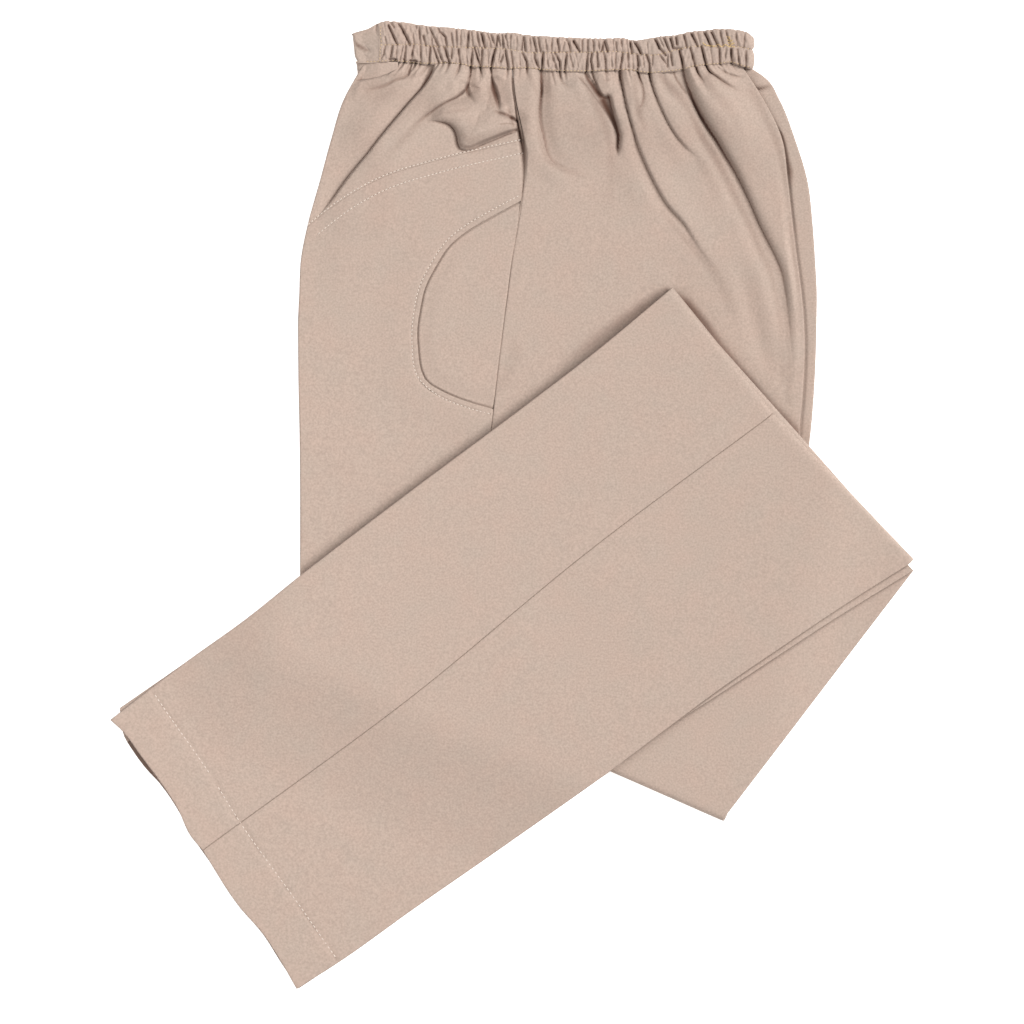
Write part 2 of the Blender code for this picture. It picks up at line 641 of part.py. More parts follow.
def shin(leg):
    """Front and back of one leg from crease B to the hem. The left leg's cloth wraps the fold along crease B."""
    crease, hem, back = (CREASE_B, HEM, SHIN_BACK) if leg == "left" else (CREASE_B_RIGHT, HEM_RIGHT, SHIN_BACK_RIGHT)
    edges = {
        "front": line_through(crease.front, *SHIN_FRONT, hem.front),
        "seam": line_through(crease.seam, *SHIN_SEAM, hem.seam),
        "back": line_through(crease.back, *back, hem.back),
    }
    shares = np.linspace(0.0, 1.0, SHIN_ROWS)
    for side, first_end, last_end, lips in (("front", "front", "seam", "first"), ("back", "seam", "back", "last")):
        points, lip = patch(edges[first_end], edges[last_end], shares, 5, lips)
        stretches = [flat_rows("shin", points, lip, 1 if leg == "left" else 0)]
        if leg == "left":
            stretches.insert(0, turn_rows("turn_b", points, lip, np.concatenate([[FIRST_TURN], TURNS[1:]])))
        panel(f"{side}_{leg}_shin", leg, stretches, TWILL)


def inner_run(front, seam, back, shares):
    """Points of the hidden layers between the front and the back edge of a stretch, with a column on the seam."""
    front_half, _ = patch(front, seam, shares, 5, gaps=(INNER_INSET, 0.0))
    back_half, _ = patch(seam, back, shares, 5, gaps=(0.0, INNER_INSET))
    return np.concatenate([front_half, back_half[:, 1:]], axis=1)


def inner_layers():
    """The hidden inner halves of both legs and the tucked-in seat, as one solid that runs through both folds."""
    thigh_shares = np.concatenate([np.linspace(0.0, 0.5, 10), np.linspace(0.5, 1.0, 5)[1:]])
    thigh = inner_run(down_thigh("front", 25.0, CREASE_A.front[1]), down_thigh("seam", 27.0, CREASE_A.seam[1]),
                      down_thigh("back_left", 27.0, CREASE_A.back[1]), thigh_shares)
    to_knee = [line_through(first, last) for first, last in zip(CREASE_A, CREASE_B)]
    knee_run = inner_run(*to_knee, np.linspace(0.0, 1.0, KNEE_ROWS))
    shin_run = inner_run(line_through(CREASE_B.front, *SHIN_FRONT, HEM.front),
                         line_through(CREASE_B.seam, *SHIN_SEAM, HEM.seam),
                         line_through(CREASE_B.back, *SHIN_BACK, HEM.back), np.linspace(0.0, 1.0, SHIN_ROWS))
    runs = [
        ("thigh", thigh, None),
        ("turn_a", thigh[-1:], TURNS[1:-1]),
        ("knee", knee_run, None),
        ("turn_b", knee_run[-1:], TURNS[1:-1]),
        ("shin", shin_run, None),
    ]
    high, low = [], []
    for stretch, points, turns in runs:
        turn = np.zeros(points.shape[:2])
        if turns is not None:
            points = np.repeat(points, len(turns), axis=0)
            turn = np.repeat(turns[:, None], points.shape[1], axis=1)
        rise = INNER_SHARE * fullness(points) if stretch == "thigh" else 0.0
        high.append(folded(stretch, points, np.full(points.shape[:2], INNER_HIGH) + rise, turn))
        low.append(folded(stretch, points, np.full(points.shape[:2], INNER_LOW), turn))
    points, faces = wall_mesh(np.concatenate(high), np.concatenate(low), LAYER_GROOVE)
    add_piece("inner_layers", points, faces, TWILL_SHADED)


def loop_section(run, start, end, side):
    """A point of the waistband's flat loop in section: how far across it is, how high, and which way is out. The loop
    runs along the upper side from start, round the end towards side (1 is right), and back underneath."""
    radius = BAND_HEIGHT / 2
    upper = abs(end - start) - radius
    turned = run - upper
    angle = np.clip(turned / radius, 0.0, np.pi)
    back = np.clip(turned - np.pi * radius, 0.0, None)
    across = start + side * (np.clip(run, 0.0, upper) + radius * np.sin(angle) - back)
    direction = np.stack([side * np.sin(angle), np.cos(angle)], -1)
    return across, radius + radius * np.cos(angle), direction


def loop_runs(start, end, upper_steps, lower_steps):
    """Runs round the loop for its columns, and the length of its upper side."""
    radius = BAND_HEIGHT / 2
    upper = abs(end - start) - radius
    around = np.pi * radius
    runs = np.concatenate([
        np.linspace(0.0, upper, upper_steps + 1),
        np.linspace(upper, upper + around, BAND_END_STEPS + 1)[1:],
        np.linspace(upper + around, 2 * upper + around, lower_steps + 1)[1:],
    ])
    return runs, upper


def band_mesh(rows, section):
    """A closed strip round the loop. Rows are (depth across the band, out, down), and the first rows are outside."""
    across, height, direction = section
    top, bottom = band_edge("top")(across), band_edge("bottom")(across)
    points = []
    for depth, out, scallop in rows:
        down = top + (bottom - top) * depth + scallop
        place = [across + direction[:, 0] * out, -down, height + direction[:, 1] * out]
        points.append(np.stack(place, -1))
    columns = len(across)
    faces = []
    for i in range(len(rows)):
        j = (i + 1) % len(rows)
        for k in range(columns - 1):
            faces.append([i * columns + k, i * columns + k + 1, j * columns + k + 1, j * columns + k])
    for k in (0, columns - 1):
        faces.append([i * columns + k for i in range(len(rows))])
    return np.concatenate(points), faces


def waistband_elastic():
    """The gathered band: two channels of elastic, with the gathers on its upper side and a plain underside."""
    runs, upper = loop_runs(BAND_PLAIN_END, BAND[-1].across, GATHERS * GATHER_STEPS, 14)
    section = loop_section(runs, BAND_PLAIN_END, BAND[-1].across, 1)
    along = runs / upper
    gathered = np.where(along <= 1.0, ease(along * GATHERS / 2) * ease((1.0 - along) * GATHERS / 2), 0.0)
    rows = []
    for row in GATHER_ROWS:
        uneven = GATHER_UNEVEN * np.sin(2 * np.pi * (GATHER_DRIFTS * along + row.lag))
        wave = gathered * row.wave * np.sin(2 * np.pi * (GATHERS * along + row.lag + uneven))
        scallop = SCALLOP * wave if row.depth == 0.0 else 0.0
        rows.append((row.depth, gathered * CHANNEL_SWELL * row.swell + GATHER_DEPTH * wave, scallop))
    rows += [(1.0, -BAND_WALL, 0.0), (0.0, -BAND_WALL, 0.0)]
    add_piece("waistband_elastic", *band_mesh(rows, section), TWILL_BAND)


def waistband_front():
    """The plain piece at the centre front: a short loop round the waistband's left end."""
    start = BAND_PLAIN_END - GAP
    runs, _ = loop_runs(start, BAND[0].across, 2, 2)
    rows = [(depth, 0.0, 0.0) for depth in (0.0, 0.5, 1.0)] + [(1.0, -BAND_WALL, 0.0), (0.0, -BAND_WALL, 0.0)]
    add_piece("waistband_front", *band_mesh(rows, loop_section(runs, start, BAND[0].across, -1)), TWILL)


def centre_on_origin():
    """Moves every mesh so that the middle of the garment's underside is the origin."""
    pieces = [piece for piece in bpy.context.scene.objects if piece.type == "MESH"]
    places = np.array([vertex.co for piece in pieces for vertex in piece.data.vertices])
    middle = (places.min(0) + places.max(0)) / 2
    for piece in pieces:
        for vertex in piece.data.vertices:
            vertex.co.x -= middle[0]
            vertex.co.y -= middle[1]


def main():
    for thing in list(bpy.data.objects):
        bpy.data.objects.remove(thing)
    waistband_front()
    waistband_elastic()
    yoke_left()
    front_left_thigh()
    pocket_facing_left()
    back_left_thigh()
    right_thigh()
    for leg in ("left", "right"):
        knee(leg)
        shin(leg)
    inner_layers()
    centre_on_origin()


main()
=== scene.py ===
"""Looks of scrub trousers folded twice and lying on their side: shells, gathers, folds, sewing and finish.

The plan is the part's own, with its edges and seams traced more finely: mostly within 4 mm of the part's, and
up to 6.5 mm from them at the right hem's front. Tables are in millimetres: across is measured to the right
from the thigh's front crease, and down from the waist's top edge. A layer height runs through the two pressed
legs, from the right leg's face at 0 to the left leg's face at STACK. A depth is measured into one leg's cloth
from its outer face.
"""

from collections import namedtuple

import bpy
import numpy as np
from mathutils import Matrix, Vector


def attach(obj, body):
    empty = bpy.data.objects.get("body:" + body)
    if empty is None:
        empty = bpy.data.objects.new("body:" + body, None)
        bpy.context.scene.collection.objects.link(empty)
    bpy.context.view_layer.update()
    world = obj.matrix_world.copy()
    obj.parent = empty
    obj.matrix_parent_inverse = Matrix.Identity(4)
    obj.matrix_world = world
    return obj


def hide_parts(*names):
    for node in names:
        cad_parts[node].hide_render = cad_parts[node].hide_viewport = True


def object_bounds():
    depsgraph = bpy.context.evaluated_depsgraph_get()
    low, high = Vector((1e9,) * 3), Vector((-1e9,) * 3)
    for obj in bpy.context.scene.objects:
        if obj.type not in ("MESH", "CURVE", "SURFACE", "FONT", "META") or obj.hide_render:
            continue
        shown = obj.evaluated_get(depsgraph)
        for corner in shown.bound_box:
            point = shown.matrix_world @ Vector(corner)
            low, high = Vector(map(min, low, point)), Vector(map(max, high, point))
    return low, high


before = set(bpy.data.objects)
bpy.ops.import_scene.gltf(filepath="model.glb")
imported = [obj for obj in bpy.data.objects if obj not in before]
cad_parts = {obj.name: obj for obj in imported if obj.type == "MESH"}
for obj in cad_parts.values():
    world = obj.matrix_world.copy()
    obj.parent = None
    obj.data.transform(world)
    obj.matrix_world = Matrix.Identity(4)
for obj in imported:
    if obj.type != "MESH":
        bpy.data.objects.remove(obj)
CAD_BOX = [list(corner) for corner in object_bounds()]

MM = 0.001

# Cloth and layers, as in the part.
GAP = 0.3
LEG = 2.3
STACK = 2 * LEG + GAP
KNEE_GAP = 0.8
FOLD_A_HEIGHT = STACK + GAP / 2
FOLD_B_HEIGHT = 2 * FOLD_A_HEIGHT + KNEE_GAP / 2
SHIN_BASE = 2 * FOLD_A_HEIGHT + KNEE_GAP
SAG_MARGIN = 8.0
KNEE_SAG = 50.0
SHIN_SAG = 75.0

# Thin cloth of the shells.
CLOTH = 0.45
NOSE = LEG / 2                   # radius of a leg's rounded edge
NOSE_STEPS = 11
LIP_TOP = (1.7, 2.4, 3.2)        # the columns beside a rounded edge
WRAP = 20.0                      # an outer panel runs this far in under its leg's edge
WRAP_STEPS = 6
PRESSED = 0.62                   # a pressed fold's exponent: 1 is round, less is flatter
PRESSED_EDGE = 0.75              # and that of a leg's edge
EDGE_SHADE = 0.5                 # how dark the painted shade on the side of a leg's edge is
HEM_SHADE = 0.6                  # and on the hem's turned end
HEM_TURN = 0.5                   # radius of the turned hem
HEM_DEPTH = 27.0
HEM_TURN_STEPS = 7
SEAM_GROOVE = 0.95               # depth of the groove along a seam
SEAM_HALF = 0.8                  # and its reach to each side
SEAM_STEPS = (0.0, 0.07, 0.2, 0.4, 0.7, 1.2)
SEAM_ENDS = (0.04, 0.04)         # the panels end this far from their seams' lines
SHADE_PAINT_FROM = 0.12               # painted shade: height below the surroundings at which a crease starts to darken
SHADE_PAINT_FULL = 1.5                # and how much more makes it fully dark
SHADE_PAINT_REACH = 1.6               # how far the surroundings reach
SHARP = np.radians(62.0)         # edges of the cloth's rims
SHELL_EVERY = 4                  # the hidden side of a shell has one point for this many of the shown side's
TURN_ROWS = 16                   # rows of a panel round a fold
HEM_BACK_ROWS = (4.0, 10.0)      # rows of the hem's hidden layer, before its last at the stitches

Section = namedtuple("Section", "down front seam back_left back_right")
THIGH = (
    Section(18, 38.0, 122.0, 250.0, 253.0),
    Section(28, 31.9, 122.7, 256.8, 268.0),
    Section(40, 25.4, 124.0, 264.5, 275.4),
    Section(63, 18.2, 128.5, 275.6, 284.5),
    Section(86, 12.2, 128.5, 279.0, 291.4),
    Section(110, 5.7, 125.5, 281.8, 294.3),
    Section(131, 1.6, 122.0, 284.5, 295.8),
    Section(150, 0.7, 119.5, 287.0, 296.8),
    Section(165, 0.0, 117.5, 288.4, 296.7),
    Section(180, 0.0, 115.6, 289.0, 296.4),
    Section(200, 0.2, 113.2, 288.4, 295.6),
    Section(230, 0.8, 110.0, 285.8, 293.3),
    Section(340, 1.0, 106.0, 266.0, 268.5),
    Section(450, 1.0, 103.0, 244.2, 245.2),
)

Crease = namedtuple("Crease", "front seam back")
CREASE_A_DOWN = Crease(340.0, 385.0, 446.6)
CREASE_B = Crease((209.5, 150.0), (267.0, 221.5), (347.3, 305.2))
CREASE_B_RIGHT = Crease((210.0, 150.5), (267.5, 222.0), (351.0, 308.2))
HEM = Crease((-107.3, 393.3), (-54.5, 467.7), (-0.8, 547.0))
HEM_RIGHT = Crease((-102.0, 386.6), (-55.0, 468.2), (0.2, 546.8))
SHIN_FRONT = ((172.0, 181.3), (133.8, 210.8), (60.0, 265.9), (0.0, 312.0), (-29.0, 335.2), (-63.4, 359.8))
SHIN_SEAM = ((165.0, 297.5), (66.0, 379.0))
SHIN_BACK = ((330.0, 316.0), (300.0, 335.3), (270.0, 355.5), (240.0, 376.0), (210.0, 398.3), (179.0, 421.5),
             (145.1, 445.8), (110.2, 470.5), (67.0, 500.5), (23.8, 531.3))
SHIN_BACK_RIGHT = ((330.0, 321.0), (300.0, 339.6), (270.0, 359.2), (240.0, 378.8), (210.0, 398.2),
                   (179.0, 421.0), (145.1, 445.4), (110.2, 470.1), (67.0, 500.2), (23.8, 531.0))
# The hems' lower edges between their corners: from the front edge to the seam, and on to the back edge.
HEM_FRONT = ((-100.0, 400.0), (-90.0, 413.4), (-79.4, 427.6), (-69.3, 442.9), (-60.9, 460.2))
HEM_BACK = ((-45.8, 481.9), (-40.8, 489.9), (-34.0, 499.5), (-19.8, 515.7), (-10.1, 530.7))
HEM_RIGHT_FRONT = ((-99.5, 402.5), (-94.0, 411.8), (-87.0, 421.2), (-79.4, 429.4), (-69.3, 443.9),
                   (-60.9, 459.8))
HEM_RIGHT_BACK = ((-45.8, 481.5), (-40.8, 489.7), (-34.0, 499.5), (-19.8, 516.4), (-10.1, 531.6))
# The row of stitches along the left hem, which is broken off before the seam.
HEM_STITCHES = (
    ((-83.5, 376.5), (-75.0, 389.0), (-70.0, 396.2), (-60.0, 410.2), (-51.0, 423.2)),
    ((-46.0, 431.2), (-40.0, 441.0), (-35.0, 449.0), (-30.0, 456.6), (-20.0, 470.6), (-10.0, 484.4),
     (0.0, 498.2), (10.0, 512.6), (22.5, 530.5)),
)

# The plan's zero in the frame, from the part's two outermost hem corners.
PART_LEFT = -106.0
PART_LOWEST = 546.5
ZERO_ACROSS = CAD_BOX[0][0] - PART_LEFT * MM
ZERO_DOWN = CAD_BOX[0][1] + PART_LOWEST * MM

# The waistband's edges and the row of stitches along its middle: (across, down).
BAND_TOP = (
    (31.0, 2.2), (36.0, 0.8), (41.0, -1.0), (44.5, -3.4), (49.0, -5.2), (57.0, -5.0), (66.0, -3.8),
    (76.0, -2.5), (88.0, -1.5), (95.0, -0.8), (103.0, 0.0), (112.0, 1.4), (121.0, 1.2), (130.0, 2.4),
    (145.0, 3.5), (165.0, 4.3), (177.0, 4.5), (186.0, 4.3), (192.0, 5.6), (199.0, 4.8), (206.0, 3.3),
    (216.0, 2.5), (224.0, 0.5), (231.0, 0.0), (239.0, -1.0), (246.0, -0.8), (252.0, 0.0), (256.0, 0.9),
    (259.0, 3.0),
)
BAND_MIDDLE = (
    (46.0, 8.5), (56.0, 8.3), (66.0, 8.0), (75.0, 9.0), (95.0, 9.8), (113.0, 10.5), (120.0, 11.0),
    (130.0, 12.7), (150.0, 12.6), (170.0, 12.5), (180.0, 12.1), (188.0, 13.0), (196.0, 14.0), (205.0, 14.0),
    (212.0, 12.2), (219.0, 10.4), (228.0, 9.1), (238.0, 9.5), (247.0, 9.0), (259.0, 11.0),
)
BAND_BOTTOM = (
    (31.0, 18.6), (47.0, 18.8), (56.0, 18.4), (62.0, 19.0), (70.0, 19.8), (88.0, 19.7), (93.0, 20.2),
    (99.0, 21.3), (110.0, 21.7), (122.0, 22.6), (130.0, 22.2), (137.0, 23.0), (153.0, 24.0), (160.0, 24.2),
    (175.0, 23.6), (190.0, 23.4), (200.0, 25.0), (209.0, 24.4), (220.0, 22.9), (226.0, 21.3), (232.0, 20.5),
    (240.0, 20.0), (247.0, 19.0), (253.0, 21.0), (259.0, 22.5),
)
BAND_START = 31.0
BAND_END = 259.0
BAND_PLAIN_END = 46.0
BAND_TUCK = 0.5                  # the panels start this far inside the band's lower edge
BAND_WALL = 1.9
BAND_HEIGHT = 7.4

YOKE_SEAM = ((5.0, 112.5), (20.0, 100.5), (46.5, 85.0), (81.0, 74.0), (128.5, 63.0))
POCKET_MOUTH = (
    (128.0, 96.9), (109.4, 106.9), (95.2, 115.4), (86.6, 122.6), (78.1, 135.4), (72.4, 146.8), (69.5, 159.6),
    (67.9, 171.0), (68.4, 182.4), (70.1, 194.0), (73.0, 200.0), (81.2, 205.4), (95.2, 211.4),
    (111.3, 216.0),
)
POCKET_LIFT = 0.8
POCKET_LIFT_FLAT = 5.0
POCKET_LIFT_FADE = 24.0
FACING_UNDER = 3.0
FACING_DIP = 0.7                 # the facing lies this far under the front panel's edge
FACING_EDGE = 0.9                # and this much more right beside it

BAND_LEFT_DOWN = 20.0
BAND_SEAM_DOWN = 23.0
BAND_BACK_DOWN = 24.5
BAND_RIGHT_DOWN = 22.5
FRONT_TOP = 38.0
SEAM_TOP = 122.3
BACK_TOP_LEFT = 253.5
BACK_TOP_RIGHT = 259.5
YOKE_FRONT_DOWN = YOKE_SEAM[0][1]
YOKE_SEAM_DOWN = YOKE_SEAM[-1][1]

Fullness = namedtuple("Fullness", "below rise")
FULLNESS = (
    Fullness(0, 2.2),
    Fullness(22, 4.4),
    Fullness(50, 4.2),
    Fullness(90, 2.4),
    Fullness(140, 0.7),
    Fullness(190, 0.0),
)
FULL_EDGE = 32.0
LOWEST_RISE = -1.3               # deeper cloth would reach its leg's other half
LAYER_GAP = 1.1                  # a layer sinks this far beside the edge of the one on it
LAYER_GAP_REACH = 1.4

# Folds of the left hip. Going along the path, downwards or to the right, the cloth on the raised side stands
# up by rise, round over roll and down again over high, and the cloth on the other side dips by dip and comes
# up again over low. Side is 1 where the raised side is the right or the upper one. Soften is how much of the
# fold's crispness is lost at its end, and soft how much is lost all along. Head and tail are the shares over
# which it fades at its ends.
Fold = namedtuple("Fold", "side rise roll high dip low soften head tail path soft", defaults=(0.0,))
FOLDS = (
    # The front hip: the drooping edge beside the band's plain piece, the long fold, and the bag beside
    # the seam.
    Fold(-1, 2.4, 1.6, 10.0, 2.2, 8.0, 0.3, 0.0, 0.3,
         ((33.0, 28.9), (36.5, 28.1), (40.0, 27.4), (45.0, 26.3), (50.0, 24.6), (54.0, 22.8),
          (59.0, 19.8))),
    Fold(1, 2.1, 1.6, 28.0, 1.6, 12.0, 0.2, 0.0, 0.22,
         ((77.5, 20.0), (76.3, 24.0), (74.0, 28.3), (70.0, 33.8), (65.0, 39.2), (60.0, 45.2), (50.0, 57.0),
          (45.0, 63.2), (40.0, 69.8), (30.2, 81.3), (18.8, 96.9), (8.5, 109.8))),
    Fold(-1, 1.7, 3.5, 14.0, 1.7, 8.0, 0.6, 0.0, 0.45,
         ((98.8, 21.0), (97.6, 28.0), (96.0, 33.3), (90.0, 38.4), (85.0, 40.8), (80.0, 43.5), (75.0, 47.0),
          (70.0, 51.2), (65.0, 56.4), (57.0, 66.0))),
    Fold(1, 4.8, 6.5, 14.0, 0.4, 3.0, 0.0, 0.2, 0.05,
         ((71.0, 51.2), (76.0, 51.7), (80.0, 52.2), (84.0, 53.0), (87.0, 54.6), (89.2, 57.2), (90.6, 61.0),
          (91.3, 65.0), (92.8, 67.8), (95.8, 68.6), (99.5, 68.0), (104.0, 65.8), (108.0, 64.2),
          (113.0, 62.2), (118.0, 60.0), (124.5, 57.8))),
    Fold(1, 0.9, 1.0, 10.0, 0.3, 2.0, 0.0, 0.0, 0.2,
         ((122.2, 22.0), (122.8, 34.0), (124.2, 43.0), (125.0, 50.5), (126.8, 57.0), (128.6, 63.0),
          (130.2, 69.5), (130.0, 78.0), (129.0, 92.0))),
    # The back hip, from the side seam to the back edge.
    Fold(-1, 1.7, 3.4, 11.0, 1.6, 10.0, 0.4, 0.0, 0.3,
         ((138.8, 21.0), (138.5, 29.0), (138.0, 37.0), (137.4, 46.0), (137.8, 53.0), (139.8, 61.5),
          (141.8, 69.5), (145.3, 75.2), (152.2, 78.9), (161.0, 82.0))),
    Fold(-1, 1.1, 1.2, 9.0, 1.2, 6.0, 0.0, 0.15, 0.1,
         ((157.5, 24.0), (162.0, 29.0), (166.0, 33.7), (170.0, 39.0), (175.0, 45.3), (178.0, 50.0),
          (181.6, 58.0))),
    Fold(1, 1.5, 2.6, 8.0, 3.2, 9.5, 0.2, 0.1, 0.25,
         ((176.0, 35.0), (177.4, 38.6), (178.5, 43.5), (180.0, 50.0), (181.7, 55.0), (183.1, 60.0),
          (182.8, 66.0), (181.8, 74.0))),
    Fold(1, 1.4, 1.8, 14.0, 1.3, 8.0, 0.6, 0.0, 0.4,
         ((183.5, 21.0), (183.8, 26.0), (184.6, 31.0), (185.6, 36.0), (187.1, 43.0), (189.0, 50.0),
          (191.2, 58.0), (194.0, 67.0), (197.5, 75.5), (203.0, 87.0), (210.9, 100.3), (220.0, 110.6),
          (227.7, 123.1), (243.0, 143.9))),
    Fold(-1, 0.9, 2.6, 7.0, 0.7, 4.0, 0.5, 0.0, 0.35,
         ((193.3, 22.0), (194.8, 27.5), (196.4, 32.5), (196.6, 38.0), (195.4, 43.0), (192.3, 47.0),
          (188.5, 50.5))),
    Fold(1, 1.1, 1.5, 11.0, 1.0, 6.0, 0.5, 0.0, 0.3,
         ((200.2, 20.0), (200.7, 26.0), (202.2, 32.0), (205.0, 40.0), (208.0, 47.0), (211.2, 53.5),
          (215.2, 60.0), (220.0, 66.0), (225.0, 70.5), (233.0, 75.4))),
    Fold(1, 2.7, 5.0, 28.0, 2.6, 15.0, 0.7, 0.0, 0.42,
         ((218.6, 21.0), (220.0, 26.0), (221.6, 30.5), (224.4, 37.0), (227.4, 43.5), (230.8, 50.0),
          (234.8, 56.5), (238.8, 62.5), (243.8, 71.2), (249.0, 80.0), (254.0, 90.0), (258.0, 98.5),
          (262.5, 109.0), (267.5, 119.1), (272.0, 128.0), (275.7, 137.0), (278.4, 150.0), (280.4, 168.0),
          (282.0, 190.0), (283.0, 215.0))),
    Fold(1, 1.2, 6.0, 14.0, 1.2, 12.0, 0.0, 0.3, 0.4,
         ((251.0, 124.0), (256.5, 142.0), (261.6, 160.0), (267.5, 182.0), (273.0, 206.0)), 1.0),
    Fold(1, 0.9, 1.6, 7.0, 0.8, 3.0, 0.6, 0.0, 0.5,
         ((232.0, 20.0), (234.5, 23.4), (238.5, 26.2), (243.0, 29.5), (248.0, 32.5), (256.0, 36.5))),
    Fold(1, 0.9, 1.2, 6.0, 0.6, 2.6, 0.0, 0.15, 0.1,
         ((238.0, 19.4), (241.0, 22.2), (245.0, 24.4), (250.0, 26.0), (257.5, 26.6))),
)

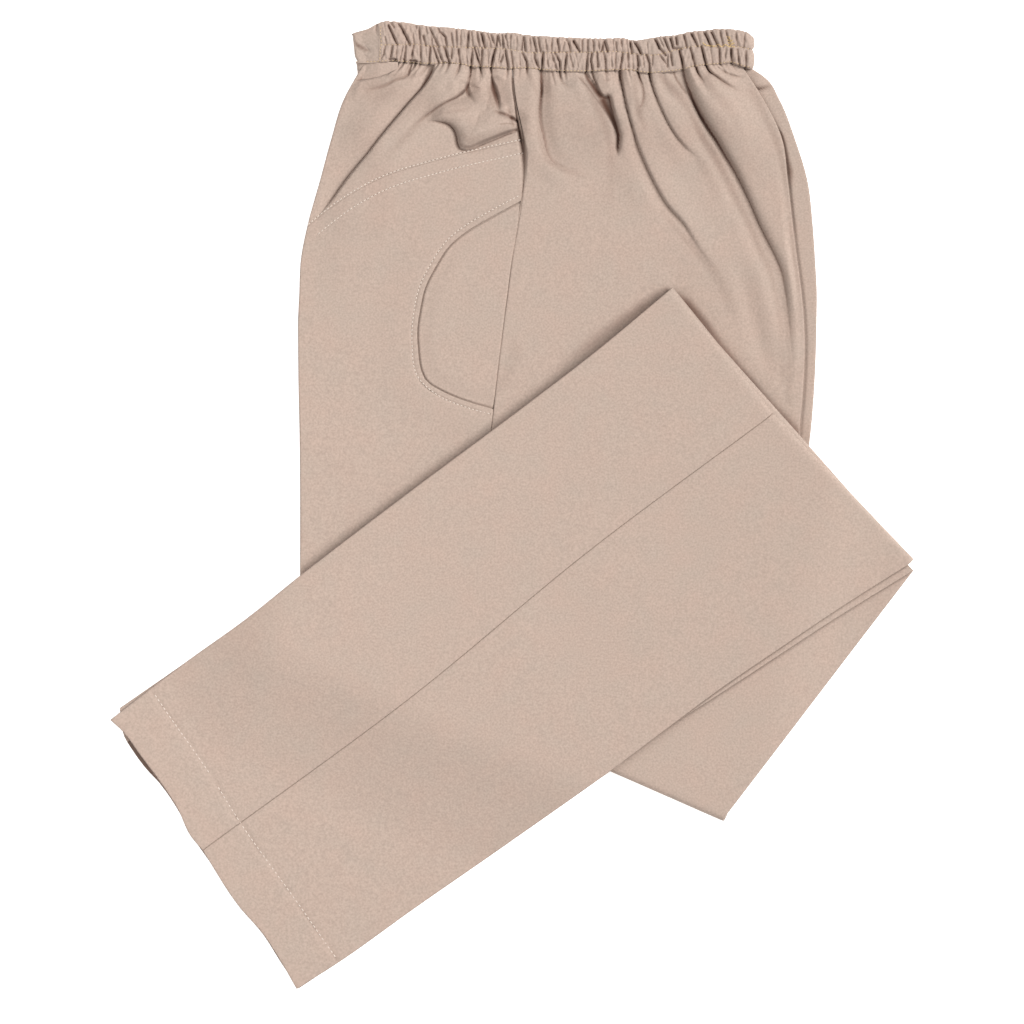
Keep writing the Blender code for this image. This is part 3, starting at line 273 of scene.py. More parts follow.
# Pits and narrow creases of the left hip: (across, down, depth, half of the width) along each.
CREASES = (
    # Front hip.
    ((64.8, 19.0, 2.2, 0.9), (63.6, 22.5, 2.4, 1.2), (62.8, 25.0, 2.2, 1.3), (60.0, 27.0, 1.7, 1.2),
     (57.0, 28.1, 1.6, 1.2), (54.0, 29.2, 1.6, 1.3), (51.0, 30.9, 1.6, 1.6), (47.0, 32.4, 1.5, 2.1),
     (43.0, 33.4, 1.2, 2.6), (36.0, 36.0, 0.3, 3.6)),
    ((55.9, 18.5, 1.6, 0.9), (55.2, 21.5, 1.0, 0.9), (54.2, 23.8, 0.0, 0.9)),
    ((75.6, 19.0, 1.4, 1.5), (74.9, 24.0, 2.0, 2.2), (72.8, 28.5, 2.0, 1.9), (69.5, 33.8, 1.0, 1.2),
     (62.0, 42.5, 0.4, 0.9), (45.0, 63.0, 0.3, 0.8), (20.0, 95.0, 0.0, 0.8)),
    ((98.4, 20.5, 2.6, 1.1), (98.0, 24.0, 1.5, 0.9), (97.0, 29.0, 1.6, 1.0), (96.2, 32.3, 4.0, 2.0),
     (96.5, 34.8, 4.0, 2.3), (98.2, 38.0, 2.0, 2.3), (101.5, 43.0, 0.0, 2.4)),
    ((96.3, 33.5, 2.8, 1.4), (91.0, 37.8, 1.5, 1.2), (82.0, 42.5, 1.1, 1.2), (72.0, 49.4, 0.8, 1.4),
     (64.0, 58.0, 0.0, 1.6)),
    ((92.6, 19.5, 1.0, 1.0), (91.0, 24.0, 0.9, 1.1), (87.4, 29.5, 0.0, 1.3)),
    ((104.0, 19.5, 1.6, 0.8), (104.3, 23.5, 1.2, 0.8), (105.2, 29.0, 0.0, 0.9)),
    ((109.8, 19.8, 2.0, 0.9), (110.3, 25.5, 1.4, 0.8), (110.7, 29.0, 4.0, 1.5), (111.7, 32.6, 5.0, 2.4),
     (113.2, 37.0, 4.2, 2.2), (114.2, 41.5, 2.8, 1.9), (114.3, 46.0, 1.0, 1.5)),
    ((109.7, 35.0, 0.0, 1.6), (108.3, 41.0, 1.0, 1.9), (106.3, 48.5, 0.0, 2.0)),
    ((112.2, 46.2, 0.8, 1.6), (114.5, 47.6, 2.2, 1.8), (119.0, 49.2, 2.6, 1.7), (122.0, 50.3, 2.8, 1.6),
     (124.8, 51.7, 3.0, 1.6)),
    ((93.0, 66.8, 0.6, 1.6), (97.5, 67.2, 1.2, 1.7), (103.0, 65.3, 1.7, 1.7), (110.0, 62.5, 2.0, 1.7),
     (118.0, 59.3, 2.2, 1.6), (124.5, 57.0, 2.8, 1.6)),
    ((112.0, 54.4, 0.0, 1.2), (116.5, 53.8, 0.7, 1.2), (121.0, 53.6, 0.5, 1.1), (125.0, 54.0, 0.3, 1.0)),
    ((78.0, 48.4, 0.0, 2.4), (86.0, 47.0, 0.5, 2.6), (94.0, 45.4, 0.5, 2.6), (99.5, 44.4, 0.0, 2.4)),
    ((79.0, 29.0, 0.0, 3.5), (84.5, 33.0, 0.6, 4.0), (91.5, 32.0, 0.0, 3.5)),
    # Back hip.
    ((130.4, 20.5, 1.0, 0.8), (130.5, 24.5, 0.6, 0.8), (130.6, 28.0, 0.0, 0.8)),
    ((138.9, 20.5, 2.2, 0.9), (138.7, 25.0, 3.8, 1.2), (138.7, 30.0, 4.2, 1.3), (138.8, 34.5, 3.0, 1.3),
     (138.5, 39.0, 1.4, 1.4), (138.5, 50.0, 0.8, 1.4), (140.5, 61.0, 0.5, 1.4), (143.0, 72.0, 0.0, 1.4)),
    ((144.3, 22.5, 1.2, 0.8), (145.5, 28.0, 0.8, 0.9), (147.3, 33.5, 0.0, 1.0)),
    ((149.0, 22.0, 1.8, 0.8), (149.5, 26.2, 1.4, 0.9), (150.7, 29.0, 1.0, 1.0), (153.0, 31.4, 0.6, 1.2),
     (157.0, 34.0, 0.0, 1.4)),
    ((151.9, 22.0, 1.2, 0.9), (152.6, 25.0, 0.8, 0.9), (152.4, 27.0, 0.0, 0.9)),
    ((164.4, 21.5, 2.4, 1.1), (164.8, 25.2, 3.4, 1.3), (167.2, 29.2, 4.4, 1.9), (169.8, 33.0, 4.6, 2.1),
     (171.8, 36.6, 4.6, 2.0), (174.4, 38.6, 4.6, 2.0), (177.2, 38.8, 4.2, 1.8)),
    ((173.0, 38.5, 2.6, 2.6), (175.4, 42.0, 4.2, 3.4), (177.4, 46.5, 4.2, 2.9), (179.6, 51.0, 4.2, 2.2),
     (181.4, 55.5, 4.0, 1.7)),
    ((167.5, 21.5, 2.2, 0.9), (168.0, 25.5, 2.8, 1.0), (169.6, 29.5, 3.2, 1.1), (171.4, 34.0, 2.4, 1.0)),
    ((177.3, 38.8, 3.2, 1.6), (178.4, 44.0, 3.4, 2.2), (179.8, 49.5, 3.8, 2.0), (181.4, 55.0, 3.8, 1.7),
     (182.7, 59.5, 2.8, 1.5), (182.5, 65.0, 1.2, 1.8), (181.8, 72.0, 0.0, 2.0)),
    ((172.5, 27.5, 0.0, 1.6), (175.5, 28.4, 0.8, 1.8), (179.0, 27.2, 0.0, 1.4)),
    ((176.0, 21.5, 1.5, 0.8), (176.3, 24.5, 1.0, 0.8), (178.5, 27.0, 0.0, 1.0)),
    ((183.4, 19.5, 2.2, 0.9), (183.7, 25.0, 2.4, 1.0), (184.6, 30.0, 1.6, 1.0), (186.3, 39.0, 0.8, 1.0),
     (190.5, 56.0, 0.4, 1.0), (198.0, 77.0, 0.0, 1.0)),
    ((193.4, 21.5, 2.2, 0.9), (194.6, 27.2, 2.0, 1.1), (196.2, 32.0, 1.2, 1.3), (196.8, 38.0, 1.0, 1.7),
     (195.6, 43.0, 0.9, 1.9), (192.3, 47.2, 0.6, 1.9), (189.0, 50.0, 0.0, 1.9)),
    ((200.2, 21.5, 2.2, 0.9), (200.6, 26.5, 1.4, 0.9), (202.2, 32.5, 0.8, 0.9), (208.0, 47.0, 0.5, 0.9),
     (215.4, 60.4, 0.4, 0.9), (231.0, 74.0, 0.0, 0.9)),
    ((208.2, 23.5, 1.0, 1.0), (209.6, 31.0, 0.9, 1.5), (213.0, 39.0, 0.0, 2.0)),
    ((213.7, 21.5, 2.4, 0.9), (215.5, 27.4, 2.8, 1.2), (217.8, 31.2, 2.2, 1.5), (221.0, 35.0, 1.0, 1.6)),
    ((218.9, 20.5, 2.4, 1.0), (219.7, 25.5, 3.6, 1.3), (221.2, 30.2, 4.2, 1.5), (224.0, 37.0, 4.4, 1.6),
     (227.0, 43.5, 4.4, 1.7), (230.3, 50.0, 4.0, 1.9), (234.2, 56.5, 3.0, 2.3), (238.2, 62.5, 2.0, 2.8),
     (243.0, 71.2, 1.2, 3.2), (248.2, 80.0, 0.7, 3.6), (256.0, 96.0, 0.0, 4.0)),
    ((226.7, 18.5, 2.0, 0.9), (227.6, 23.5, 2.4, 1.0), (229.5, 27.2, 1.4, 1.2), (232.0, 32.0, 0.8, 1.4),
     (234.3, 38.5, 0.0, 1.6)),
    ((232.2, 18.5, 2.2, 0.9), (234.4, 23.3, 2.4, 1.1), (238.5, 26.3, 1.6, 1.3), (243.0, 29.6, 1.0, 1.6),
     (252.5, 35.0, 0.0, 2.4)),
    ((233.6, 23.6, 0.8, 0.8), (238.0, 30.0, 0.6, 0.8), (245.0, 39.0, 0.0, 0.8)),
)
# Painted shade in the hip's deep folds: (across, down, darkness, half of the width) along each.
FRONT_SHADES = (
    # The plain piece's lower edge, and the creases under it.
    ((51.8, 24.3, 0.2, 0.7), (48.0, 25.3, 0.45, 0.8), (44.0, 26.5, 0.5, 0.9), (40.0, 27.4, 0.55, 0.9),
     (36.0, 28.1, 0.5, 0.9), (33.6, 28.5, 0.5, 0.9)),
    ((64.6, 20.0, 0.6, 0.9), (63.5, 23.0, 0.75, 1.2), (62.9, 25.6, 0.5, 1.2)),
    ((62.6, 25.2, 0.55, 1.0), (60.0, 27.1, 0.5, 1.0), (57.0, 28.1, 0.45, 1.0), (54.0, 29.2, 0.5, 1.1),
     (51.0, 30.9, 0.45, 1.3), (47.0, 32.5, 0.4, 1.6), (43.0, 33.4, 0.3, 2.0), (39.0, 34.8, 0.2, 2.4),
     (35.5, 36.5, 0.0, 2.6)),
    ((55.9, 18.5, 0.7, 0.8), (55.2, 21.5, 0.5, 0.8), (54.2, 23.8, 0.2, 0.8)),
    ((59.5, 20.0, 0.35, 0.8), (58.2, 24.5, 0.0, 0.8)),
    # The long fold.
    ((74.6, 20.5, 0.4, 1.5), (75.0, 24.2, 0.4, 2.1), (73.6, 27.8, 0.5, 2.0), (71.2, 31.8, 0.6, 1.4),
     (68.5, 35.6, 0.4, 1.0), (62.0, 43.0, 0.3, 1.0), (45.0, 63.5, 0.25, 1.0), (18.0, 98.5, 0.2, 0.9)),
    # The pit beside the bag and the fold that runs from it.
    ((98.3, 21.0, 1.0, 0.9), (98.0, 24.0, 0.4, 0.7), (96.9, 29.0, 0.4, 0.7), (96.4, 31.2, 0.7, 0.9),
     (96.0, 33.4, 1.0, 1.7), (96.7, 36.0, 0.7, 1.8), (98.5, 39.5, 0.2, 2.2), (100.0, 42.0, 0.0, 2.2)),
    ((95.2, 34.0, 0.85, 1.2), (91.0, 37.5, 0.5, 1.1), (85.0, 41.0, 0.5, 1.2), (78.0, 45.5, 0.45, 1.3),
     (72.0, 50.2, 0.35, 1.4), (66.0, 55.5, 0.2, 1.5), (60.0, 60.5, 0.0, 1.5)),
    ((78.0, 48.0, 0.0, 2.4), (86.0, 46.8, 0.24, 2.8), (95.0, 45.2, 0.24, 3.0), (103.0, 43.0, 0.0, 2.6)),
    # The pit beside the side seam, and the creases that run from it.
    ((110.3, 26.0, 0.6, 0.9), (110.8, 30.0, 1.0, 1.8), (111.3, 33.0, 1.0, 2.8), (112.4, 37.0, 1.0, 2.8),
     (113.5, 41.0, 0.8, 2.5), (114.2, 44.5, 0.35, 1.7), (114.4, 47.5, 0.0, 1.6)),
    ((108.6, 29.0, 0.1, 2.4), (109.6, 35.0, 0.32, 3.4), (110.8, 41.0, 0.3, 3.6), (112.0, 46.0, 0.0, 3.0)),
    ((109.6, 35.5, 0.15, 1.1), (108.2, 41.0, 0.3, 1.2), (107.0, 47.5, 0.0, 1.2)),
    ((112.0, 46.2, 0.3, 1.6), (115.5, 47.3, 0.6, 2.0), (119.5, 48.6, 0.65, 2.0), (122.5, 50.2, 0.7, 1.8),
     (124.6, 51.8, 0.7, 1.6)),
    ((112.5, 54.2, 0.0, 0.9), (116.0, 53.8, 0.35, 0.9), (121.0, 53.5, 0.3, 0.9), (124.0, 53.8, 0.1, 0.9)),
    ((91.8, 20.5, 0.4, 0.9), (90.2, 24.5, 0.3, 1.0), (88.0, 28.0, 0.0, 1.0)),
    ((104.0, 20.5, 0.6, 0.8), (104.6, 24.5, 0.35, 0.8), (105.2, 28.5, 0.0, 0.8)),
    # The bag's side that faces away from the light.
    ((77.0, 51.9, 0.15, 1.0), (82.0, 52.8, 0.3, 1.2), (86.6, 54.0, 0.25, 1.6), (90.2, 57.2, 0.2, 2.0),
     (92.2, 61.5, 0.15, 2.4), (93.4, 65.0, 0.25, 2.8), (96.3, 67.2, 0.4, 2.6), (101.0, 65.8, 0.4, 2.6),
     (106.0, 63.6, 0.45, 2.3), (112.0, 61.2, 0.5, 2.0), (118.0, 58.8, 0.55, 1.8), (124.5, 56.8, 0.65, 1.6)),
    # Wide soft shade over the yoke, round the bag, beside the long fold and under the plain piece.
    ((42.0, 32.0, 0.12, 12.0), (62.0, 38.0, 0.1, 16.0), (90.0, 42.0, 0.13, 16.0),
     (114.0, 38.0, 0.12, 14.0)),
    ((30.0, 58.0, 0.07, 12.0), (46.0, 82.0, 0.08, 14.0), (42.0, 112.0, 0.05, 16.0)),
    ((96.0, 44.0, 0.0, 6.0), (99.0, 52.0, 0.16, 6.0), (98.0, 60.0, 0.18, 6.0), (104.0, 64.5, 0.16, 5.0),
     (116.0, 59.5, 0.08, 4.0)),
    ((84.0, 27.0, 0.0, 4.0), (86.0, 34.0, 0.14, 5.0), (88.0, 40.0, 0.1, 5.0), (82.0, 46.0, 0.0, 4.0)),
    ((76.0, 45.5, 0.1, 3.0), (68.0, 54.0, 0.2, 3.6), (60.0, 62.5, 0.2, 3.8), (52.0, 71.5, 0.1, 4.5),
     (47.0, 80.0, 0.0, 4.5)),
    ((64.0, 44.0, 0.0, 3.0), (52.0, 56.0, 0.12, 4.0), (38.0, 66.0, 0.08, 4.0), (28.0, 76.0, 0.0, 4.0)),
    ((34.0, 26.5, 0.1, 3.0), (48.0, 25.0, 0.14, 4.0), (58.0, 26.5, 0.26, 4.5), (66.0, 26.0, 0.14, 3.5)),
    ((27.0, 38.0, 0.12, 2.6), (22.0, 50.0, 0.16, 2.8), (18.0, 63.0, 0.14, 2.8), (13.0, 80.0, 0.1, 2.6),
     (9.0, 95.0, 0.0, 2.4)),
    ((89.0, 54.5, 0.0, 4.0), (93.5, 59.5, 0.25, 5.0), (97.5, 63.0, 0.28, 5.0), (105.0, 61.5, 0.16, 4.5),
     (114.0, 58.5, 0.0, 3.5)),
    # The gap beside the side seam.
    ((122.4, 24.0, 0.3, 0.6), (123.2, 36.0, 0.4, 0.9), (124.1, 45.0, 0.4, 0.9), (124.6, 51.0, 0.5, 1.1),
     (125.4, 56.0, 0.6, 1.5), (126.8, 61.5, 0.8, 2.2), (128.0, 67.0, 0.8, 2.2), (128.6, 73.0, 0.6, 1.9),
     (128.5, 80.0, 0.4, 1.2), (128.0, 90.0, 0.25, 0.8), (124.0, 118.0, 0.2, 0.6)),
)
BACK_SHADES = (
    ((123.6, 38.0, 0.3, 0.6), (125.0, 50.5, 0.5, 0.7), (128.6, 62.0, 0.6, 0.8), (129.4, 72.0, 0.5, 0.8),
     (129.0, 86.0, 0.25, 0.7), (125.0, 116.0, 0.15, 0.6)),
    ((138.8, 22.0, 0.7, 0.9), (138.8, 26.0, 0.95, 1.2), (138.9, 30.0, 0.95, 1.3), (138.8, 34.0, 0.7, 1.2),
     (137.9, 39.0, 0.4, 1.1), (137.3, 48.0, 0.3, 1.1), (138.5, 56.0, 0.25, 1.1), (140.7, 65.0, 0.25, 1.1),
     (142.8, 72.0, 0.3, 1.5), (147.0, 75.8, 0.28, 2.1), (152.0, 78.4, 0.22, 2.1), (158.0, 80.8, 0.0, 1.8)),
    ((149.0, 22.0, 0.6, 0.8), (149.3, 26.0, 0.6, 0.9), (150.4, 29.2, 0.4, 1.0), (153.0, 32.0, 0.2, 1.3),
     (156.0, 34.0, 0.0, 1.5)),
    ((152.4, 22.0, 0.35, 0.7), (152.6, 26.4, 0.3, 0.7)),
    ((145.0, 24.0, 0.4, 0.7), (146.0, 28.0, 0.25, 0.8), (147.3, 33.0, 0.0, 0.9)),
    # The open pleat: its dark inside, the crease that leads to it, and its crisp left edge.
    ((172.5, 37.6, 1.0, 2.0), (175.0, 38.6, 1.0, 2.0), (177.3, 38.4, 0.8, 1.5)),
    ((174.0, 40.0, 1.0, 4.4), (176.5, 45.0, 1.0, 3.9), (179.0, 50.0, 1.0, 3.0), (181.0, 54.5, 1.0, 2.3),
     (182.3, 58.5, 0.95, 1.5), (182.6, 62.0, 0.4, 1.3), (182.4, 68.0, 0.0, 1.2)),
    ((163.6, 23.8, 0.9, 1.4), (165.3, 27.8, 0.9, 2.0), (167.8, 31.2, 1.0, 2.8), (170.2, 34.8, 1.0, 3.2),
     (172.5, 37.6, 1.0, 3.2)),
    ((160.0, 27.0, 0.2, 0.8), (166.0, 34.0, 0.35, 0.9), (172.0, 42.0, 0.5, 1.0), (178.0, 50.5, 0.7, 1.1),
     (181.6, 57.0, 0.8, 1.1)),
    ((167.6, 22.5, 0.6, 0.8), (168.4, 27.0, 0.7, 1.0), (170.2, 32.0, 0.8, 1.1)),
    ((172.5, 28.2, 0.0, 0.9), (176.0, 28.7, 0.3, 1.0), (179.5, 27.0, 0.0, 0.9)),
    ((183.6, 21.0, 0.6, 1.0), (184.3, 27.5, 0.5, 1.1), (185.6, 35.0, 0.4, 1.0), (188.0, 45.0, 0.25, 0.9),
     (192.0, 61.0, 0.1, 0.9), (198.0, 77.0, 0.0, 0.9)),
    ((194.0, 24.0, 0.6, 1.0), (194.8, 28.0, 0.6, 1.2), (196.4, 33.0, 0.4, 1.2), (197.0, 38.5, 0.35, 1.3),
     (195.6, 43.5, 0.3, 1.5), (191.5, 48.0, 0.15, 1.5)),
    ((200.2, 22.0, 0.5, 0.9), (201.0, 27.5, 0.25, 0.9), (203.0, 34.0, 0.1, 0.9), (208.0, 47.0, 0.1, 0.9),
     (215.0, 60.0, 0.15, 1.0), (222.0, 67.5, 0.15, 1.2), (229.0, 73.0, 0.0, 1.2)),
    # The large fold to the back edge.
    ((219.5, 25.0, 0.6, 1.1), (221.5, 31.0, 0.6, 1.3), (225.0, 38.5, 0.6, 1.5), (229.0, 46.5, 0.6, 1.9),
     (234.0, 55.5, 0.5, 2.8), (240.0, 65.5, 0.38, 3.4), (247.0, 77.0, 0.32, 3.8), (254.0, 91.0, 0.28, 3.8),
     (259.5, 105.0, 0.28, 3.6), (265.0, 119.0, 0.14, 3.4), (270.5, 130.5, 0.1, 3.2),
     (274.8, 143.0, 0.1, 3.2), (277.8, 158.0, 0.2, 3.4), (279.5, 180.0, 0.15, 3.6),
     (280.0, 212.0, 0.12, 3.6)),
    ((227.0, 20.5, 0.6, 0.8), (228.0, 24.5, 0.5, 1.0), (230.5, 29.5, 0.25, 1.2), (233.5, 36.0, 0.0, 1.4)),
    ((213.9, 23.0, 0.7, 0.9), (215.6, 27.5, 0.6, 1.1), (218.4, 32.0, 0.4, 1.3), (221.5, 36.0, 0.2, 1.4)),
    # Painted contact shadow beside the edge of the fold that lies on the thigh.
    ((210.0, 148.0, 0.4, 3.6), (221.0, 156.0, 0.85, 5.6), (232.0, 168.5, 0.75, 5.2),
     (240.0, 179.0, 0.6, 4.2), (250.0, 192.0, 0.75, 4.6), (258.0, 201.5, 0.85, 5.0),
     (270.0, 215.5, 0.8, 5.0), (280.0, 225.0, 0.7, 4.4), (292.0, 238.0, 0.5, 3.0)),
    ((208.0, 148.5, 0.1, 4.0), (196.0, 157.5, 0.3, 5.0), (182.0, 167.5, 0.34, 6.0), (168.0, 178.0, 0.3, 6.0),
     (156.0, 187.5, 0.2, 5.5), (144.0, 197.0, 0.0, 5.0)),
    ((120.0, 170.0, 0.0, 6.0), (124.0, 184.0, 0.08, 8.0), (118.0, 198.0, 0.1, 6.0),
     (112.0, 210.0, 0.0, 5.0)),
    # Wide soft shade over the gathered hip, and between the gathers.
    ((135.0, 42.0, 0.08, 24.0), (165.0, 58.0, 0.12, 30.0), (200.0, 60.0, 0.12, 32.0),
     (235.0, 58.0, 0.13, 30.0), (262.0, 78.0, 0.16, 26.0), (274.0, 108.0, 0.1, 18.0)),
    ((161.0, 27.0, 0.1, 3.0), (166.0, 34.0, 0.26, 4.6), (171.0, 44.0, 0.32, 5.4), (175.0, 55.0, 0.34, 5.6),
     (177.5, 66.0, 0.28, 5.0), (179.0, 78.0, 0.14, 6.0), (177.0, 96.0, 0.06, 7.0),
     (174.0, 108.0, 0.0, 6.0)),
    ((160.0, 52.0, 0.0, 8.0), (169.0, 60.0, 0.1, 9.0), (180.0, 78.0, 0.1, 10.0), (188.0, 92.0, 0.08, 9.0),
     (196.0, 104.0, 0.0, 8.0)),
    ((132.0, 27.0, 0.2, 3.4), (135.0, 33.0, 0.16, 3.0), (136.5, 48.0, 0.12, 2.6), (138.5, 64.0, 0.2, 2.8),
     (143.0, 75.0, 0.24, 3.2), (152.0, 79.5, 0.24, 3.2), (160.0, 82.0, 0.1, 3.4), (168.0, 84.0, 0.0, 3.0)),
    ((192.0, 26.0, 0.2, 2.6), (192.5, 36.0, 0.2, 3.0), (194.5, 47.0, 0.36, 4.2), (199.0, 58.0, 0.16, 4.0),
     (204.0, 68.0, 0.0, 4.0)),
    ((207.0, 26.0, 0.3, 3.6), (213.0, 33.0, 0.4, 5.0), (219.0, 40.0, 0.26, 4.6), (224.0, 48.0, 0.26, 4.0),
     (230.0, 60.0, 0.44, 4.8), (237.0, 71.0, 0.42, 5.0), (244.0, 84.0, 0.32, 4.6), (251.0, 98.0, 0.28, 4.2),
     (258.0, 112.0, 0.26, 4.0), (264.0, 126.0, 0.24, 3.8), (270.0, 140.0, 0.2, 3.6),
     (274.0, 158.0, 0.14, 3.6), (277.0, 200.0, 0.1, 4.0)),
    ((222.0, 66.0, 0.0, 4.0), (230.0, 76.0, 0.22, 6.0), (236.0, 86.0, 0.12, 6.0), (241.0, 100.0, 0.0, 5.0)),
    ((232.0, 27.0, 0.3, 4.0), (238.0, 36.0, 0.22, 5.0), (246.0, 46.0, 0.16, 7.0), (254.0, 62.0, 0.16, 8.0),
     (262.0, 80.0, 0.14, 8.0), (269.0, 100.0, 0.12, 6.0), (276.0, 122.0, 0.06, 4.0)),
    ((258.0, 34.0, 0.1, 4.0), (264.0, 45.0, 0.14, 4.0), (272.0, 62.0, 0.26, 3.8), (276.0, 78.0, 0.24, 3.4),
     (279.0, 96.0, 0.14, 3.0), (284.0, 130.0, 0.1, 3.0), (286.0, 170.0, 0.1, 3.0)),
    ((208.0, 104.0, 0.1, 3.0), (220.0, 118.0, 0.2, 3.6), (231.0, 130.0, 0.18, 5.0),
     (240.0, 142.0, 0.16, 5.5), (246.0, 156.0, 0.12, 5.5), (250.0, 170.0, 0.0, 5.0)),
)
# Painted shade in the dark gap between the left leg's back edge and the right leg's, and under the bulge at
# its top.
STRIP_SHADES = (
    ((273.4, 55.0, 0.3, 0.8), (275.4, 59.0, 0.9, 1.8), (276.8, 65.0, 0.8, 2.6), (278.4, 73.0, 0.75, 3.2),
     (280.2, 81.0, 0.8, 3.6), (280.6, 86.5, 0.5, 2.6), (281.0, 92.0, 0.3, 1.6), (284.0, 115.0, 0.15, 1.2)),
    ((256.5, 31.0, 0.6, 2.0), (261.5, 33.0, 0.6, 2.0), (266.0, 32.4, 0.35, 2.0), (271.5, 30.0, 0.0, 1.8)),
)
# The side seam, and the deep gap on its front side.
SEAM_GAP = (
    ((121.9, 22.0, 0.5, 0.8), (122.3, 33.0, 1.0, 0.9), (123.5, 42.0, 1.0, 0.9), (124.9, 49.5, 1.5, 1.1),
     (126.0, 56.0, 2.7, 1.8), (127.2, 62.5, 3.6, 2.6), (128.1, 69.0, 3.2, 2.4), (128.4, 76.0, 2.0, 1.8),
     (128.2, 84.0, 0.8, 1.1), (127.9, 94.0, 0.0, 0.8)),
)
# A crease of the right leg's strip beside the back edge, under its bulge.
STRIP_BULGE = (263.5, 29.0)
STRIP_CREASE = ((259.5, 33.8, 1.3, 1.0), (262.5, 33.7, 1.3, 1.2), (266.5, 33.0, 0.8, 1.3),
                (272.0, 30.5, 0.0, 1.4))
# Soft creases of the band's plain piece.
PLAIN_CREASES = (
    ((32.0, 4.0, 0.6, 2.0), (35.0, 8.3, 1.4, 2.6), (38.5, 10.8, 1.4, 2.6), (43.5, 13.0, 0.0, 2.2)),
    ((44.8, -3.0, 1.2, 1.1), (44.5, 0.5, 0.8, 1.2), (45.3, 4.0, 0.0, 1.2)),
    ((36.0, 13.0, 0.0, 2.0), (39.0, 15.5, 0.4, 2.0), (43.0, 16.5, 0.0, 2.0)),
)

BARTACK = ((244.0, 3.6), (246.2, 4.4), (244.6, 5.8), (247.4, 6.0), (245.2, 7.4), (248.4, 7.6), (246.0, 9.0),
           (249.4, 9.8))
BARTACK_ROW = ((230.6, 7.2), (232.6, 8.6), (235.0, 8.8), (237.4, 9.2), (239.6, 8.2), (241.4, 9.4),
               (243.4, 8.4), (245.6, 9.4))

